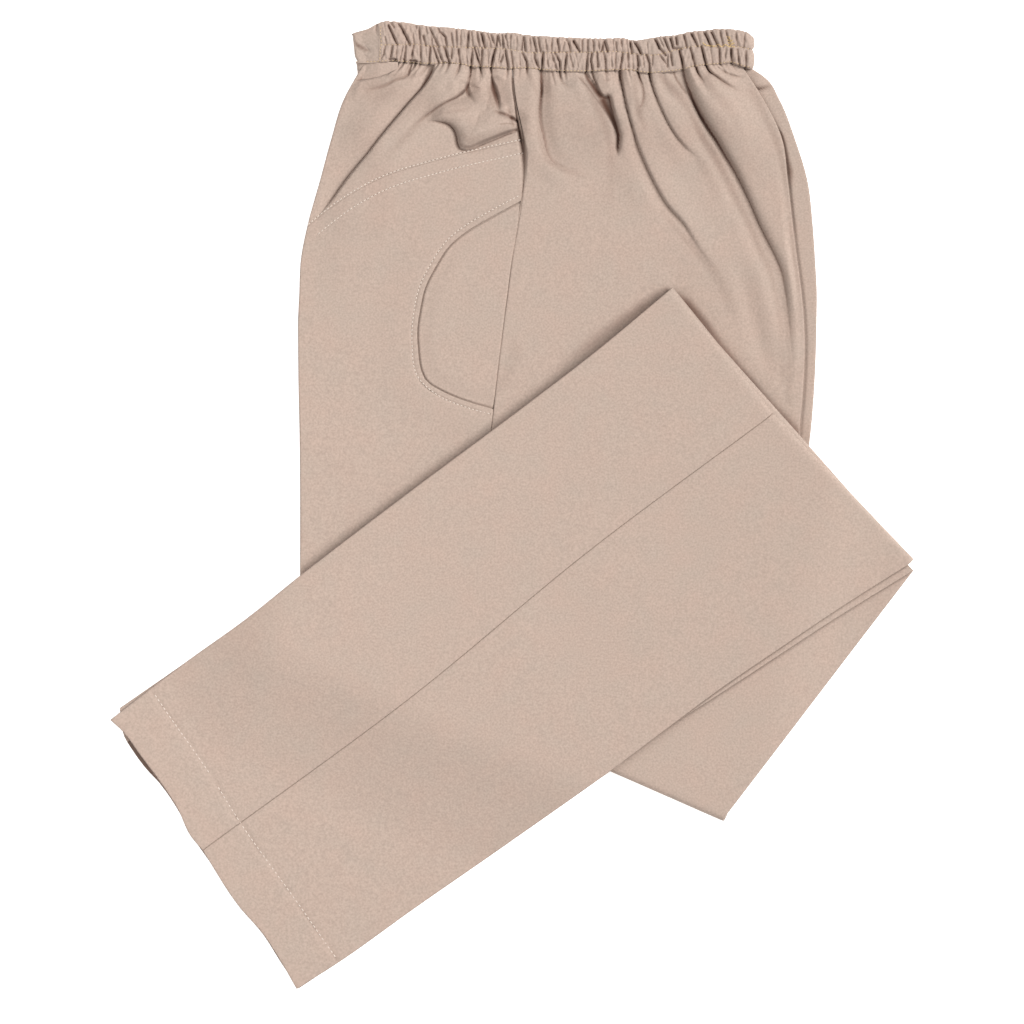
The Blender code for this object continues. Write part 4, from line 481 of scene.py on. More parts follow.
# Pleats of the band's upper and lower channel: (across, down, across, down, depth).
UPPER_PLEATS = (
    (48.8, -3.5, 50.0, 3.0, 0.4), (49.5, 4.0, 50.4, 8.5, 0.5), (51.5, -2.5, 56.3, 8.3, 1.3),
    (52.4, -5.0, 54.5, -1.5, 0.8), (54.0, 3.0, 54.6, 8.0, 0.4), (57.0, -4.5, 59.0, -1.0, 1.2),
    (59.0, -1.0, 63.6, 8.3, 1.4), (60.3, 3.0, 61.2, 8.3, 0.5), (66.7, -4.2, 67.6, -1.0, 0.9),
    (65.5, 2.0, 66.0, 8.0, 0.4), (68.8, -1.5, 69.6, 8.6, 0.8), (71.3, 3.5, 72.7, 9.0, 1.0),
    (72.6, -3.0, 73.5, 2.0, 0.5), (74.6, -2.0, 77.3, 4.0, 0.9), (77.3, 4.0, 79.8, 9.8, 1.1),
    (76.3, 3.0, 76.0, 9.0, 0.6), (79.4, -2.5, 80.7, 1.0, 0.8), (80.7, 1.0, 83.9, 4.0, 1.0),
    (83.9, 4.0, 84.6, 9.5, 1.0), (87.2, 2.0, 88.3, 9.7, 0.7), (90.0, -1.0, 90.4, 9.8, 0.7),
    (92.8, 0.0, 92.3, 8.5, 0.5), (97.3, -1.2, 96.5, 9.9, 1.2), (98.6, 1.0, 99.6, 9.9, 0.7),
    (101.8, 0.6, 103.3, 9.6, 0.9), (104.2, 0.2, 106.2, 9.9, 1.5), (107.5, 1.5, 109.2, 6.0, 0.6),
    (109.2, 6.0, 109.6, 10.0, 0.6), (109.8, 2.5, 112.4, 10.0, 0.8), (113.7, 3.2, 113.0, 9.0, 1.2),
    (113.9, 4.0, 115.2, 9.0, 1.1), (116.3, 2.4, 117.0, 10.2, 1.0), (118.0, 2.6, 119.6, 10.4, 0.7),
    (121.2, 3.0, 120.7, 10.6, 0.6), (124.6, 4.0, 124.4, 11.0, 0.4), (128.5, 3.8, 127.4, 11.2, 1.2),
    (128.5, 4.6, 129.4, 11.8, 1.1), (132.0, 4.6, 132.3, 12.0, 0.5), (133.8, 3.8, 135.7, 12.2, 1.2),
    (136.5, 3.2, 138.1, 12.2, 1.0), (141.0, 5.5, 141.6, 12.4, 0.4), (144.6, 4.5, 144.4, 12.4, 0.5),
    (147.7, 4.2, 148.7, 12.4, 1.0), (151.7, 7.0, 150.4, 12.4, 0.4), (152.4, 4.0, 154.6, 9.0, 0.8),
    (154.6, 9.0, 155.0, 12.6, 0.8), (157.0, 6.4, 160.2, 12.0, 1.4), (161.9, 5.4, 161.8, 12.4, 0.7),
    (165.0, 4.8, 165.1, 12.4, 1.0), (168.0, 5.0, 168.4, 12.2, 0.8), (171.0, 6.0, 172.0, 12.4, 0.7),
    (174.4, 5.6, 172.9, 12.0, 1.4), (174.4, 5.6, 176.2, 12.2, 1.4), (179.4, 5.5, 179.8, 11.6, 0.4),
    (181.0, 7.0, 181.7, 12.2, 0.7), (184.0, 5.2, 184.8, 12.4, 0.5), (187.0, 5.4, 187.9, 12.8, 0.5),
    (189.2, 5.8, 190.1, 13.2, 1.3), (191.6, 6.0, 195.3, 13.6, 1.6), (199.0, 7.0, 199.3, 13.6, 0.4),
    (203.4, 4.6, 206.0, 10.5, 1.5), (206.0, 10.5, 209.6, 14.4, 1.3), (205.4, 4.2, 208.0, 9.0, 0.6),
    (208.2, 4.0, 211.6, 12.2, 1.1), (212.1, 4.2, 213.6, 10.4, 1.4), (213.6, 10.4, 218.3, 10.8, 1.3),
    (215.3, 3.4, 215.8, 8.2, 1.2), (219.6, 1.6, 221.4, 10.0, 1.0), (223.9, 1.0, 227.6, 9.2, 1.3),
    (227.5, 1.5, 229.0, 8.4, 0.4), (231.4, 0.6, 235.1, 9.2, 1.4), (235.5, 0.6, 239.3, 9.8, 1.3),
    (240.4, 0.0, 242.4, 9.4, 0.8), (243.5, 0.0, 246.3, 9.2, 0.7), (249.5, 1.0, 250.1, 8.8, 0.4),
    (254.6, 2.0, 254.0, 9.8, 0.5),
)
LOWER_PLEATS = (
    (49.6, 9.0, 48.6, 14.0, 0.7), (48.6, 14.0, 45.5, 18.2, 0.9), (53.7, 8.8, 52.5, 17.8, 1.0),
    (56.2, 8.8, 55.6, 18.0, 0.5), (59.7, 8.8, 57.6, 18.4, 0.6), (61.3, 8.8, 60.5, 19.0, 0.9),
    (65.7, 8.6, 64.3, 19.0, 0.9), (69.6, 9.0, 70.1, 19.8, 0.9), (72.4, 9.5, 73.2, 16.0, 0.4),
    (75.3, 9.4, 74.7, 19.8, 1.2), (76.9, 9.4, 80.1, 19.0, 1.2), (78.8, 9.6, 82.8, 19.8, 1.0),
    (83.5, 9.8, 86.3, 19.6, 1.4), (87.5, 10.0, 87.3, 16.0, 0.8), (91.2, 11.0, 92.4, 20.0, 1.0),
    (95.6, 10.4, 96.4, 19.0, 0.4), (99.4, 10.4, 98.5, 21.2, 1.1), (100.4, 10.0, 104.0, 21.4, 1.5),
    (101.8, 10.0, 103.6, 15.5, 0.8), (104.9, 10.2, 104.0, 21.0, 1.2), (107.9, 11.0, 108.4, 19.0, 0.4),
    (112.2, 10.6, 109.9, 21.6, 1.4), (114.9, 11.0, 114.2, 19.0, 0.4), (117.8, 11.2, 115.5, 18.0, 0.9),
    (118.0, 11.2, 119.6, 21.6, 1.2), (121.3, 12.0, 122.6, 22.4, 0.8), (126.0, 13.0, 126.4, 20.0, 0.4),
    (127.8, 13.0, 130.1, 18.0, 1.2), (130.1, 18.0, 130.4, 22.2, 1.2), (134.8, 13.0, 134.7, 16.0, 1.0),
    (134.7, 16.0, 137.6, 22.8, 1.0), (139.5, 13.0, 138.8, 23.0, 1.4), (141.4, 13.2, 142.6, 21.0, 0.5),
    (144.3, 13.2, 147.6, 23.2, 0.8), (146.2, 13.0, 149.0, 18.0, 1.0), (149.0, 18.0, 149.3, 23.8, 1.1),
    (153.1, 13.0, 151.8, 24.0, 1.1), (154.4, 13.0, 156.7, 21.0, 0.6), (158.0, 13.2, 159.6, 21.0, 0.4),
    (165.1, 13.0, 164.2, 24.0, 1.2), (167.3, 13.0, 166.8, 18.0, 1.2), (166.8, 18.0, 167.7, 23.8, 1.2),
    (170.4, 12.8, 170.8, 21.0, 0.9), (174.0, 12.8, 175.2, 18.0, 1.0), (175.2, 18.0, 175.4, 23.4, 1.1),
    (178.4, 13.0, 178.8, 21.0, 0.4), (181.1, 12.8, 180.6, 23.0, 0.6), (184.9, 13.0, 183.5, 23.2, 1.0),
    (188.0, 13.4, 188.1, 21.0, 0.9), (190.4, 13.6, 190.9, 22.0, 0.5), (193.3, 14.2, 193.8, 20.5, 1.4),
    (193.8, 20.5, 193.4, 23.6, 1.0), (196.4, 14.4, 197.1, 21.0, 0.5), (198.6, 14.4, 200.2, 19.0, 1.4),
    (200.2, 19.0, 200.4, 25.0, 1.4), (202.1, 14.6, 201.6, 20.0, 0.7), (206.3, 14.6, 210.0, 19.5, 0.9),
    (210.6, 14.0, 210.3, 21.0, 0.8), (212.2, 12.8, 213.2, 20.0, 1.0), (217.2, 11.2, 218.9, 18.0, 1.6),
    (218.9, 18.0, 219.3, 23.0, 1.6), (223.5, 10.4, 226.1, 20.8, 1.2), (229.9, 9.6, 232.5, 20.4, 1.5),
    (234.9, 10.2, 236.2, 19.0, 0.5), (239.9, 10.2, 240.5, 20.0, 1.1), (243.8, 10.0, 243.4, 17.0, 0.4),
    (246.7, 11.0, 247.1, 18.4, 1.3), (250.4, 11.0, 251.6, 20.5, 0.7), (255.4, 12.0, 255.2, 21.2, 0.9),
    (52.3, 17.0, 55.6, 17.3, 1.5), (55.7, 17.3, 56.1, 19.2, 1.6), (60.4, 16.8, 60.8, 18.8, 1.4),
    (64.0, 18.0, 67.4, 18.5, 1.7), (69.6, 18.6, 69.9, 20.0, 1.4), (82.4, 19.2, 86.2, 19.2, 1.5),
)
END_OUT = 1.9
END_LEAN = 0.1                   # the plain piece's end leans this much for each millimetre down
PLAIN_SLOPE = 0.27
TONGUE_TOP = 18.0
TONGUE_BOTTOM = 30.0
TONGUE_RIGHT = 57.0
TONGUE_INSET = 0.6
TONGUE_RADIUS = 2.2
TONGUE_HEIGHT = 6.9
PLEAT_SCALE = 1.9
PLEAT_HALF = 0.82                # half of a pleat's width, and what its depth adds to it
PLEAT_HALF_MORE = 0.5
PLEAT_PINCH = 0.5                # share of a pleat's depth left at the rows of stitches
CHANNEL_SWELL = 1.3
PLAIN_SWELL = 0.3
BAND_BLEND = 3.0                 # the gathers start over this width
GATHER_SEED = 5
GATHER_WAVES = 9
GATHER_LENGTH = (2.2, 5.5)
GATHER_HEIGHT = 0.36
SCALLOP = 0.6                    # how far a pleat pulls the upper edge in, as a share of its depth
SCALLOP_BELOW = 0.7              # the lower edge's share of that
SCALLOP_ROW = 1.2                # read this far in from the edges
SCALLOP_REACH = 2.0
# How far the folds under the band lean: (across, millimetres to the right for each one down).
RIPPLE_LEAN = ((40.0, -0.9), (80.0, -0.8), (100.0, -0.3), (138.0, 0.0), (184.0, 0.12), (200.0, 0.3),
               (218.0, 0.55), (250.0, 0.85))
WIDE_SHARE = 0.7
WIDE_REACH = 5.0                 # times half of the crease's own width
WIDE_DEEPEST = 3.0
RIPPLE_SEED = 12
RIPPLE_REACH = (4.0, 11.0)       # the shortest and the longest
RIPPLE_DEPTH = 1.1
BAND_PINCH = 0.5                 # the panels are drawn down this far at the band
BAND_PINCH_REACH = 1.6
FOLDS_FROM_EDGE = 1.0            # the hip's folds end this far inside the leg's edges
FOLDS_FADE = 5.0
LOBE_SIZE = (8.0, 5.5)           # half of the width and of the height of the strip's lobe
LOBE_RISE = 1.5
LIP_REACH = 1.5                  # the facing dips most under the front panel's edge, this far off
DIP_REACH = 9.0

# Sewing: rows of stitches.
BEAD_SIDES = 6
STITCH_LENGTH = 1.6
STITCH_WIDTH = 0.56
HEM_STITCH = dict(pitch=2.9, length=2.0, width=0.62)
BAND_STITCH = dict(pitch=2.0, length=1.2, width=0.45)
BARTACK_STITCH = dict(pitch=1.15, length=1.2, width=0.5)
BAND_LOW_ROW = 0.955             # share of the band's width at which its lower row of stitches lies
PLAIN_ROW = ((47.2, -2.6), (46.9, 2.0), (47.4, 7.0), (46.8, 12.0), (46.6, 17.0))
STITCH_LIFT = 0.25               # a stitch's middle stands this share of its width above the cloth
STITCH_PITCH = 2.3
STITCH_TROUGH = 0.22             # the cloth is drawn in along a row of stitches
STITCH_TROUGH_HALF = 1.1
YOKE_ROW_LOW = 6.9               # the lower row lies this far below the yoke seam
YOKE_ROW_HIGH = 0.9
POCKET_ROW = 3.2                 # the row beside the pocket mouth

# Beads along their length, as shares of it, with each ring's girth and how deep it is sunk, as shares of
# the width.
Bead = namedtuple("Bead", "stations girths sinks")
STITCH = Bead((-0.5, -0.36, 0.0, 0.36, 0.5), (0.25, 0.9, 1.0, 0.9, 0.25), (0.55, 0.15, 0.0, 0.15, 0.55))
# A needle hole is a dark bead: painted shade where the thread sinks into the cloth.
HOLE_SHADE_BEAD = Bead((-0.19, -0.1, 0.1, 0.19), (0.3, 1.0, 1.0, 0.3), (0.75, 0.55, 0.55, 0.75))
HOLE_SHADE_SHIFT = 0.74                # a needle hole's painted shade follows its stitch by this share of the stitch's length

# Grooves and troughs of the cloth: depth, and reach to each side.
YOKE_GROOVE = (0.15, 0.5)
MOUTH_GROOVE = (0.45, 0.5)
SHIN_SEAM_GROOVE = (0.8, 0.8)
YOKE_TROUGH = (0.12, 0.8)
MOUTH_TROUGH = (0.35, 1.1)
HEM_TROUGH = (0.4, 1.3)
YOKE_ALLOWANCE = (0.15, 7.5, 2.0)    # rise over the yoke seam's allowance, where it ends and over how much
HEM_ALLOWANCE = (0.28, 1.5, 1.6)     # and over the hem's second layer

# Pressed cloth's slight waviness: height and seed.
HIP_WAVES = (0.22, 3)
SHIN_WAVES = (0.22, 5)
KNEE_WAVES = (0.30, 8)
FLAT_AT_FOLD = 14.0              # it fades out over this distance from a fold

# Colours.
TWILL = (0.419, 0.321, 0.265)
# The gathered band's twill: a darker copy of the same cloth, painted shade for its gathers.
BAND_TWILL_SHADED = (0.404, 0.307, 0.254)
# The colour towards which painted shade darkens the cloth in its creases, folds and edges.
PAINTED_SHADE_TINT = (0.27, 0.172, 0.137)
FLECK_CONTRAST = 0.275
CREAM_THREAD = (0.72, 0.62, 0.54)
STRAW_THREAD = (0.62, 0.46, 0.28)
GOLD_THREAD = (0.70, 0.50, 0.22)
# Painted shade of the needle holes.
NEEDLE_HOLE_SHADE = (0.17, 0.115, 0.09)

# The studio, in metres and watts.
SOFTBOX = ("softbox", (9.9, 3.6, 12.1), 7.6, 3150.0)
FILL = ("fill", (-0.55, -0.05, 0.9), 0.7, 4.0)
FLOOR_REACH = 4.0
FLOOR_GLOW = 0.75
WORLD_GLOW = 0.28
CAMERA = (0.00032, -0.00407, 5.0)
FRAME_WIDTH = 0.5837             # width of the picture at the cloth's height
CLOTH_HEIGHT = 0.008
SENSOR = 36.0


# ----------------------------------------------------------------------------------------- lines and fields

def ease(share):
    """0 to 1 with a level start and end."""
    share = np.clip(share, 0.0, 1.0)
    return 0.5 - 0.5 * np.cos(np.pi * share)


def smooth(knots, values, at):
    """Values at the knots joined by a smooth curve, read at the given places."""
    knots = np.asarray(knots, float)
    values = np.asarray(values, float)
    slopes = np.gradient(values, knots, axis=0)
    at = np.clip(np.asarray(at, float), knots[0], knots[-1])
    span = np.clip(np.searchsorted(knots, at, side="right") - 1, 0, len(knots) - 2)
    width = knots[span + 1] - knots[span]
    t = (at - knots[span]) / width
    if values.ndim > 1:
        width = width[..., None]
        t = t[..., None]
    start = (2 * t**3 - 3 * t**2 + 1) * values[span] + (t**3 - 2 * t**2 + t) * width * slopes[span]
    end = (3 * t**2 - 2 * t**3) * values[span + 1] + (t**3 - t**2) * width * slopes[span + 1]
    return start + end


def read(table, at):
    """A table of (place, value) read at the given places."""
    knots, values = np.transpose(table)
    return smooth(knots, values, at)


def shares_along(places):
    """The share of a line's length at which each of its points lies."""
    steps = np.hypot(*np.diff(places, axis=0).T)
    return np.concatenate([[0.0], np.cumsum(steps)]) / steps.sum()


def line_through(*points):
    """A smooth line through the points, as a function of the share of its length."""
    points = np.asarray(points, float)
    shares = shares_along(points)
    return lambda share: smooth(shares, points, share)


def traced(count, *points):
    """This many points along the smooth line through the given ones."""
    return line_through(*points)(np.linspace(0.0, 1.0, count))


def across_thigh(name, down):
    """Where an edge or the seam of the laid thigh lies, this far down."""
    return smooth([row.down for row in THIGH], [getattr(row, name) for row in THIGH], down)


def down_thigh(name, first, last):
    """The run of an edge or the seam of the thigh between two distances down."""
    def at(share):
        down = first + (last - first) * np.asarray(share, float)
        return np.stack([across_thigh(name, down), down], -1)
    return at


def band_edge(table):
    """An edge of the waistband, as a function of how far across."""
    return lambda across: read(table, across)


def joined(*parts):
    """Lines one after the other. Each part is (share at which it ends, line)."""
    def at(share):
        share = np.asarray(share, float)
        start = 0.0
        found = None
        for end, line in parts:
            piece = line(np.clip((share - start) / (end - start), 0.0, 1.0))
            found = piece if found is None else np.where((share > start)[..., None], piece, found)
            start = end
        return found
    return at


def gaps_to(points, line):
    """Distance of each point from a line of corner points, the share along it, and the side: 1 to the right
    of a line that runs down, or above one that runs to the right."""
    line = np.asarray(line, float)
    starts = line[:-1]
    runs = np.diff(line, axis=0)
    lengths = np.hypot(*runs.T)
    before = np.concatenate([[0.0], np.cumsum(lengths)[:-1]])
    away = points[..., None, :] - starts
    t = np.clip((away * runs).sum(-1) / lengths**2, 0.0, 1.0)
    distances = np.hypot(*np.moveaxis(away - t[..., None] * runs, -1, 0))
    nearest = distances.argmin(-1)[..., None]
    along = (before + t * lengths) / lengths.sum()
    turned = runs[:, 1] * away[..., 0] - runs[:, 0] * away[..., 1]
    pick = lambda values: np.take_along_axis(values, nearest, -1)[..., 0]
    return pick(distances), pick(along), np.sign(pick(turned))


def outside(points, outline):
    """Distance of each point outside a closed outline, 0 inside it."""
    closed = np.vstack([outline, outline[:1]])
    distance, _, _ = gaps_to(points, closed)
    x, y = points[..., None, 0], points[..., None, 1]
    x0, y0 = closed[:-1].T
    x1, y1 = closed[1:].T
    crosses = (y0 > y) != (y1 > y)
    rise = np.where(y1 == y0, 1.0, y1 - y0)
    crossings = (crosses & (x < x0 + (y - y0) * (x1 - x0) / rise)).sum(-1)
    return np.where(crossings % 2, 0.0, distance)


def outward(crease, turned):
    """Unit direction in which a fold bulges. Turned is 1 or -1, for the side of the crease."""
    run = np.subtract(crease.back, crease.front)
    return turned * np.array([-run[1], run[0]]) / np.hypot(*run)


CREASE_A = Crease(*[(float(across_thigh(name, down)), down)
                    for name, down in zip(("front", "seam", "back_left"), CREASE_A_DOWN)])
OUT_A = outward(CREASE_A, 1)
OUT_B = outward(CREASE_B, -1)
OUT_HEM = outward(HEM, 1)


def thigh_outline():
    """Outline of the stacked thighs, down to the turn at crease A."""
    shares = np.linspace(0.0, 1.0, 12)
    front = down_thigh("front", THIGH[0].down, CREASE_A.front[1])(shares)
    back = down_thigh("back_right", CREASE_A.back[1], THIGH[0].down)(shares)
    return np.vstack([front, OUT_A * STACK + CREASE_A.front, OUT_A * STACK + CREASE_A.back, back])


THIGH_OUTLINE = thigh_outline()
KNEE_OUTLINE = np.array([
    OUT_A * STACK + CREASE_A.front,
    OUT_A * STACK + CREASE_A.back,
    OUT_B * STACK + CREASE_B_RIGHT.back,
    OUT_B * STACK + CREASE_B.front,
])
SHIN_OUTLINE = np.array([CREASE_B.front, *SHIN_FRONT, HEM.front, HEM.back, CREASE_B_RIGHT.back])
MOUTH_LINE = traced(41, *POCKET_MOUTH)
YOKE_LINE = traced(31, *YOKE_SEAM)
SEAM_LINE = down_thigh("seam", BAND_LEFT_DOWN, CREASE_A.seam[1])(np.linspace(0.0, 1.0, 81))
SHIN_SEAM_LINE = traced(41, CREASE_B.seam, *SHIN_SEAM, HEM.seam)
SHIN_BACK_LINE = traced(41, CREASE_B.back, *SHIN_BACK, HEM.back)
HEM_STITCH_LINE = traced(61, *HEM_STITCHES[0], *HEM_STITCHES[1])
SHIN_BACK_RIGHT_LINE = traced(41, CREASE_B_RIGHT.back, *SHIN_BACK_RIGHT, HEM_RIGHT.back)

Leg = namedtuple("Leg", "crease hem shin_back hem_front hem_back")
LEGS = {
    "left": Leg(CREASE_B, HEM, SHIN_BACK, HEM_FRONT, HEM_BACK),
    "right": Leg(CREASE_B_RIGHT, HEM_RIGHT, SHIN_BACK_RIGHT, HEM_RIGHT_FRONT, HEM_RIGHT_BACK),
}


def off_shin_and_knee(points):
    """How far each point lies from what is folded over the thigh."""
    return np.minimum(outside(points, SHIN_OUTLINE), outside(points, KNEE_OUTLINE))


def knee_sag(points):
    """How far the knee stretch hangs below its full height."""
    return (STACK + GAP) * ease((outside(points, THIGH_OUTLINE) - SAG_MARGIN) / KNEE_SAG)


def shin_sag(points):
    """How far the shin stretch hangs below its full height, off the thigh and off the knee."""
    off_thigh = ease((outside(points, THIGH_OUTLINE) - SAG_MARGIN) / SHIN_SAG)
    off_knee = ease((outside(points, KNEE_OUTLINE) - SAG_MARGIN) / SHIN_SAG)
    beside = knee_sag(points) * (1.0 - off_knee)
    return beside + ((STACK + GAP) * off_thigh + STACK + KNEE_GAP) * off_knee


def fullness(points):
    """Rise of the upper cloth over the tucked-in seat, without folds."""
    across, down = points[..., 0], points[..., 1]
    below = down - band_edge(BAND_BOTTOM)(across)
    rise = smooth([row.below for row in FULLNESS], [row.rise for row in FULLNESS], below)
    from_front = ease((across - across_thigh("front", down)) / FULL_EDGE)
    from_back = ease((across_thigh("back_left", down) - across) / FULL_EDGE)
    clear = ease((off_shin_and_knee(points) - 2.0) / 30.0)
    return rise * from_front * from_back * clear


def near(points, path, reach):
    """Which points lie within a box round the path, this far off."""
    path = np.asarray(path, float)
    low, high = path.min(0) - reach, path.max(0) + reach
    return ((points > low) & (points < high)).all(-1)


def one_fold(points, fold):
    """Rise of the cloth round one fold."""
    path = traced(8 * len(fold.path), *fold.path)
    distance, along, turned = gaps_to(points, path)
    offset = distance * turned * fold.side
    strength = ease((1.0 - along) / fold.tail)
    if fold.head:
        strength = strength * ease(along / fold.head)
    round_over = 1.0 - np.clip(offset / fold.roll, 0.0, 1.0)
    crisp = np.sqrt(1.0 - round_over**2)
    soft = ease((offset + fold.roll) / (2.5 * fold.roll))
    up = crisp + (soft - crisp) * np.clip(fold.soft + fold.soften * along, 0.0, 1.0)
    raised = fold.rise * (1.0 - ease((offset - fold.roll) / fold.high))
    dipped = fold.dip * (1.0 - ease(-offset / fold.low))
    return strength * (up * raised - (1.0 - up) * dipped)


def valley(share):
    """Depth of a crease across its half width: 1 at its line, 0 from its edge on."""
    share = np.clip(share, 0.0, 1.0)
    return 1.0 - 0.5 * ease(share) - 0.5 * np.sin(np.pi / 2 * share)


def beside_path(points, path, fineness, reach=1.0):
    """For a path of (across, down, amount, half of its width): which points lie near it, how far from it they
    are, and its amount and its half width beside them."""
    places, amounts, halves = np.split(np.array(path, float), (2, 3), axis=1)
    close = near(points, places, halves.max() * reach)
    distance, along, _ = gaps_to(points[close], traced(fineness * len(path), *places))
    knots = shares_along(places)
    return close, distance, np.interp(along, knots, amounts[:, 0]), np.interp(along, knots, halves[:, 0])


def creases(points, table, wide=0.0):
    """Drop of the cloth in narrow creases, each a valley with round shoulders. Wide is the share of its depth
    by which the cloth sinks towards it from further away."""
    drop = np.zeros(points.shape[:-1])
    sunk = np.zeros(points.shape[:-1])
    for crease in table:
        close, distance, depth, half = beside_path(points, crease, 8, WIDE_REACH if wide else 1.0)
        drop[close] = np.minimum(drop[close], -depth * valley(distance / half))
        if wide:
            fall = wide * np.minimum(depth, WIDE_DEEPEST) * (1.0 - ease(distance / (WIDE_REACH * half)))
            sunk[close] = np.minimum(sunk[close], -fall)
    return drop * (1.0 - 0.5 * wide) + sunk


def shaded(points, table):
    """How dark each point is in the table's painted shades, from 0 to 1."""
    dark = np.zeros(points.shape[:-1])
    for shade in table:
        close, distance, darkness, half = beside_path(points, shade, 6)
        dark[close] = np.maximum(dark[close], darkness * (1.0 - ease(distance / half)))
    return dark


def folds(points):
    """Rise of the upper cloth in its folds and creases, which end just inside the leg's edges."""
    across, down = points[..., 0], points[..., 1]
    rise = np.zeros(points.shape[:-1])
    for fold in FOLDS:
        close = near(points, fold.path, max(fold.high + fold.roll, fold.low))
        if close.any():
            rise[close] += one_fold(points[close], fold)
    rise += creases(points, CREASES, WIDE_SHARE) + creases(points, RIPPLES + SEAM_GAP)
    from_back = ease((across_thigh("back_left", down) - across - FOLDS_FROM_EDGE) / FOLDS_FADE)
    from_front = ease((across - across_thigh("front", down) - FOLDS_FROM_EDGE) / FOLDS_FADE)
    return rise * from_back * from_front


def unevenness(points, height, seed, shortest=38.0, longest=110.0, waves=7):
    """Slight waviness of pressed cloth."""
    draw = np.random.RandomState(seed)
    rise = np.zeros(points.shape[:-1])
    for _ in range(waves):
        angle = draw.uniform(0.0, np.pi)
        length = draw.uniform(shortest, longest)
        phase = draw.uniform(0.0, 2.0 * np.pi)
        along = points[..., 0] * np.cos(angle) + points[..., 1] * np.sin(angle)
        rise += np.sin(2.0 * np.pi * along / length + phase) * length / longest
    return rise * height / np.sqrt(waves)


def groove(distance, depth=SEAM_GROOVE, half=SEAM_HALF):
    """Drop of the cloth beside a seam: a quarter round on each side."""
    share = np.clip(distance / half, 0.0, 1.0)
    return -depth * (1.0 - np.sqrt(np.clip(1.0 - (1.0 - share) ** 2, 0.0, 1.0)))


def trough(distance, depth=STITCH_TROUGH, half=STITCH_TROUGH_HALF):
    """Soft hollow along a row of stitches."""
    return -depth * (1.0 - ease(distance / half))


def limited(rise, lowest):
    """The rise, held above the lowest one that keeps the cloth off the layer under it."""
    start = lowest / 3.0
    room = start - lowest
    return np.where(rise > start, rise, start - room * np.tanh((start - rise) / room))


def pocket_lift(points):
    """Rise of the front panel where its edge lies on the pocket facing."""
    distance, _, _ = gaps_to(points, MOUTH_LINE)
    from_seam, _, _ = gaps_to(points, SEAM_LINE)
    lift = POCKET_LIFT * (1.0 - ease((distance - POCKET_LIFT_FLAT) / POCKET_LIFT_FADE))
    return lift * (0.45 + 0.55 * ease(from_seam / 9.0)), distance


# -------------------------------------------------------------------------------------------------- gathers

def pleat_creases(table):
    """The band's pleats as creases."""
    found = []
    for across, down, last_across, last_down, depth in table:
        half = PLEAT_HALF + PLEAT_HALF_MORE * depth
        deep = PLEAT_SCALE * depth
        found.append(((across, down, deep, half), (last_across, last_down, deep, half)))
    return tuple(found)


def ripple_creases():
    """The folds that run on from the lower channel's pleats, below the band."""
    draw = np.random.RandomState(RIPPLE_SEED)
    found = []
    for _, _, across, down, depth in LOWER_PLEATS:
        edge = float(read(BAND_BOTTOM, across))
        reach = draw.uniform(*RIPPLE_REACH)
        lean = float(read(RIPPLE_LEAN, across)) + draw.uniform(-0.15, 0.15)
        if down > edge - 2.5:
            deep = RIPPLE_DEPTH * (0.4 + depth)
            first = (across, edge - 1.0, deep, 1.2)
            middle = (across + 0.3 * lean * reach, edge + 0.3 * reach, 0.55 * deep, 1.3)
            last = (across + lean * reach, edge + reach, 0.0, 1.8)
            found.append((first, middle, last))
    return tuple(found)


PLEATS = pleat_creases(UPPER_PLEATS + LOWER_PLEATS)
RIPPLES = ripple_creases()


# -------------------------------------------------------------------------------------------- surface rises

def hip_rise(points):
    """Rise that the hip's panels share, and how far each point is from the yoke seam."""
    seam, _, _ = gaps_to(points, SEAM_LINE)
    yoke, _, _ = gaps_to(points, YOKE_LINE)
    clear = ease((off_shin_and_knee(points) - 1.0) / 12.0)
    below = np.clip(points[..., 1] - band_edge(BAND_BOTTOM)(points[..., 0]), 0.0, None)
    rise = fullness(points) + (folds(points) + unevenness(points, *HIP_WAVES)) * clear
    rise += groove(seam) - BAND_PINCH * np.exp(-below / BAND_PINCH_REACH)
    return limited(rise, LOWEST_RISE), yoke


def allowance(distance, height, end, fade):
    """Rise over a second layer under the cloth, up to its end this far off."""
    return height * (1.0 - ease((distance - end) / fade))


def yoke_rise(points):
    """Rise of the yoke, with the row of stitches along its seam."""
    rise, yoke = hip_rise(points)
    return rise + groove(yoke, *YOKE_GROOVE) + trough(np.abs(yoke - YOKE_ROW_HIGH), *YOKE_TROUGH)


def front_rise(points):
    """Rise of the front panel, with the rows of stitches below the yoke seam and beside the pocket mouth."""
    rise, yoke = hip_rise(points)
    lift, mouth = pocket_lift(points)
    rise += groove(yoke, *YOKE_GROOVE) + trough(np.abs(yoke - YOKE_ROW_LOW))
    rise += allowance(yoke, *YOKE_ALLOWANCE)
    return rise + lift + groove(mouth, *MOUTH_GROOVE) + trough(np.abs(mouth - POCKET_ROW), *MOUTH_TROUGH)


def facing_rise(points):
    """Rise of the pocket facing, which dips under the front panel's edge."""
    rise, _ = hip_rise(points)
    mouth, _, _ = gaps_to(points, MOUTH_LINE)
    dip = FACING_DIP * (1.0 - ease((mouth - LIP_REACH) / DIP_REACH))
    return rise - dip - FACING_EDGE * (1.0 - ease(mouth / LIP_REACH))


def back_rise(points):
    """Rise of the back panel."""
    return hip_rise(points)[0]


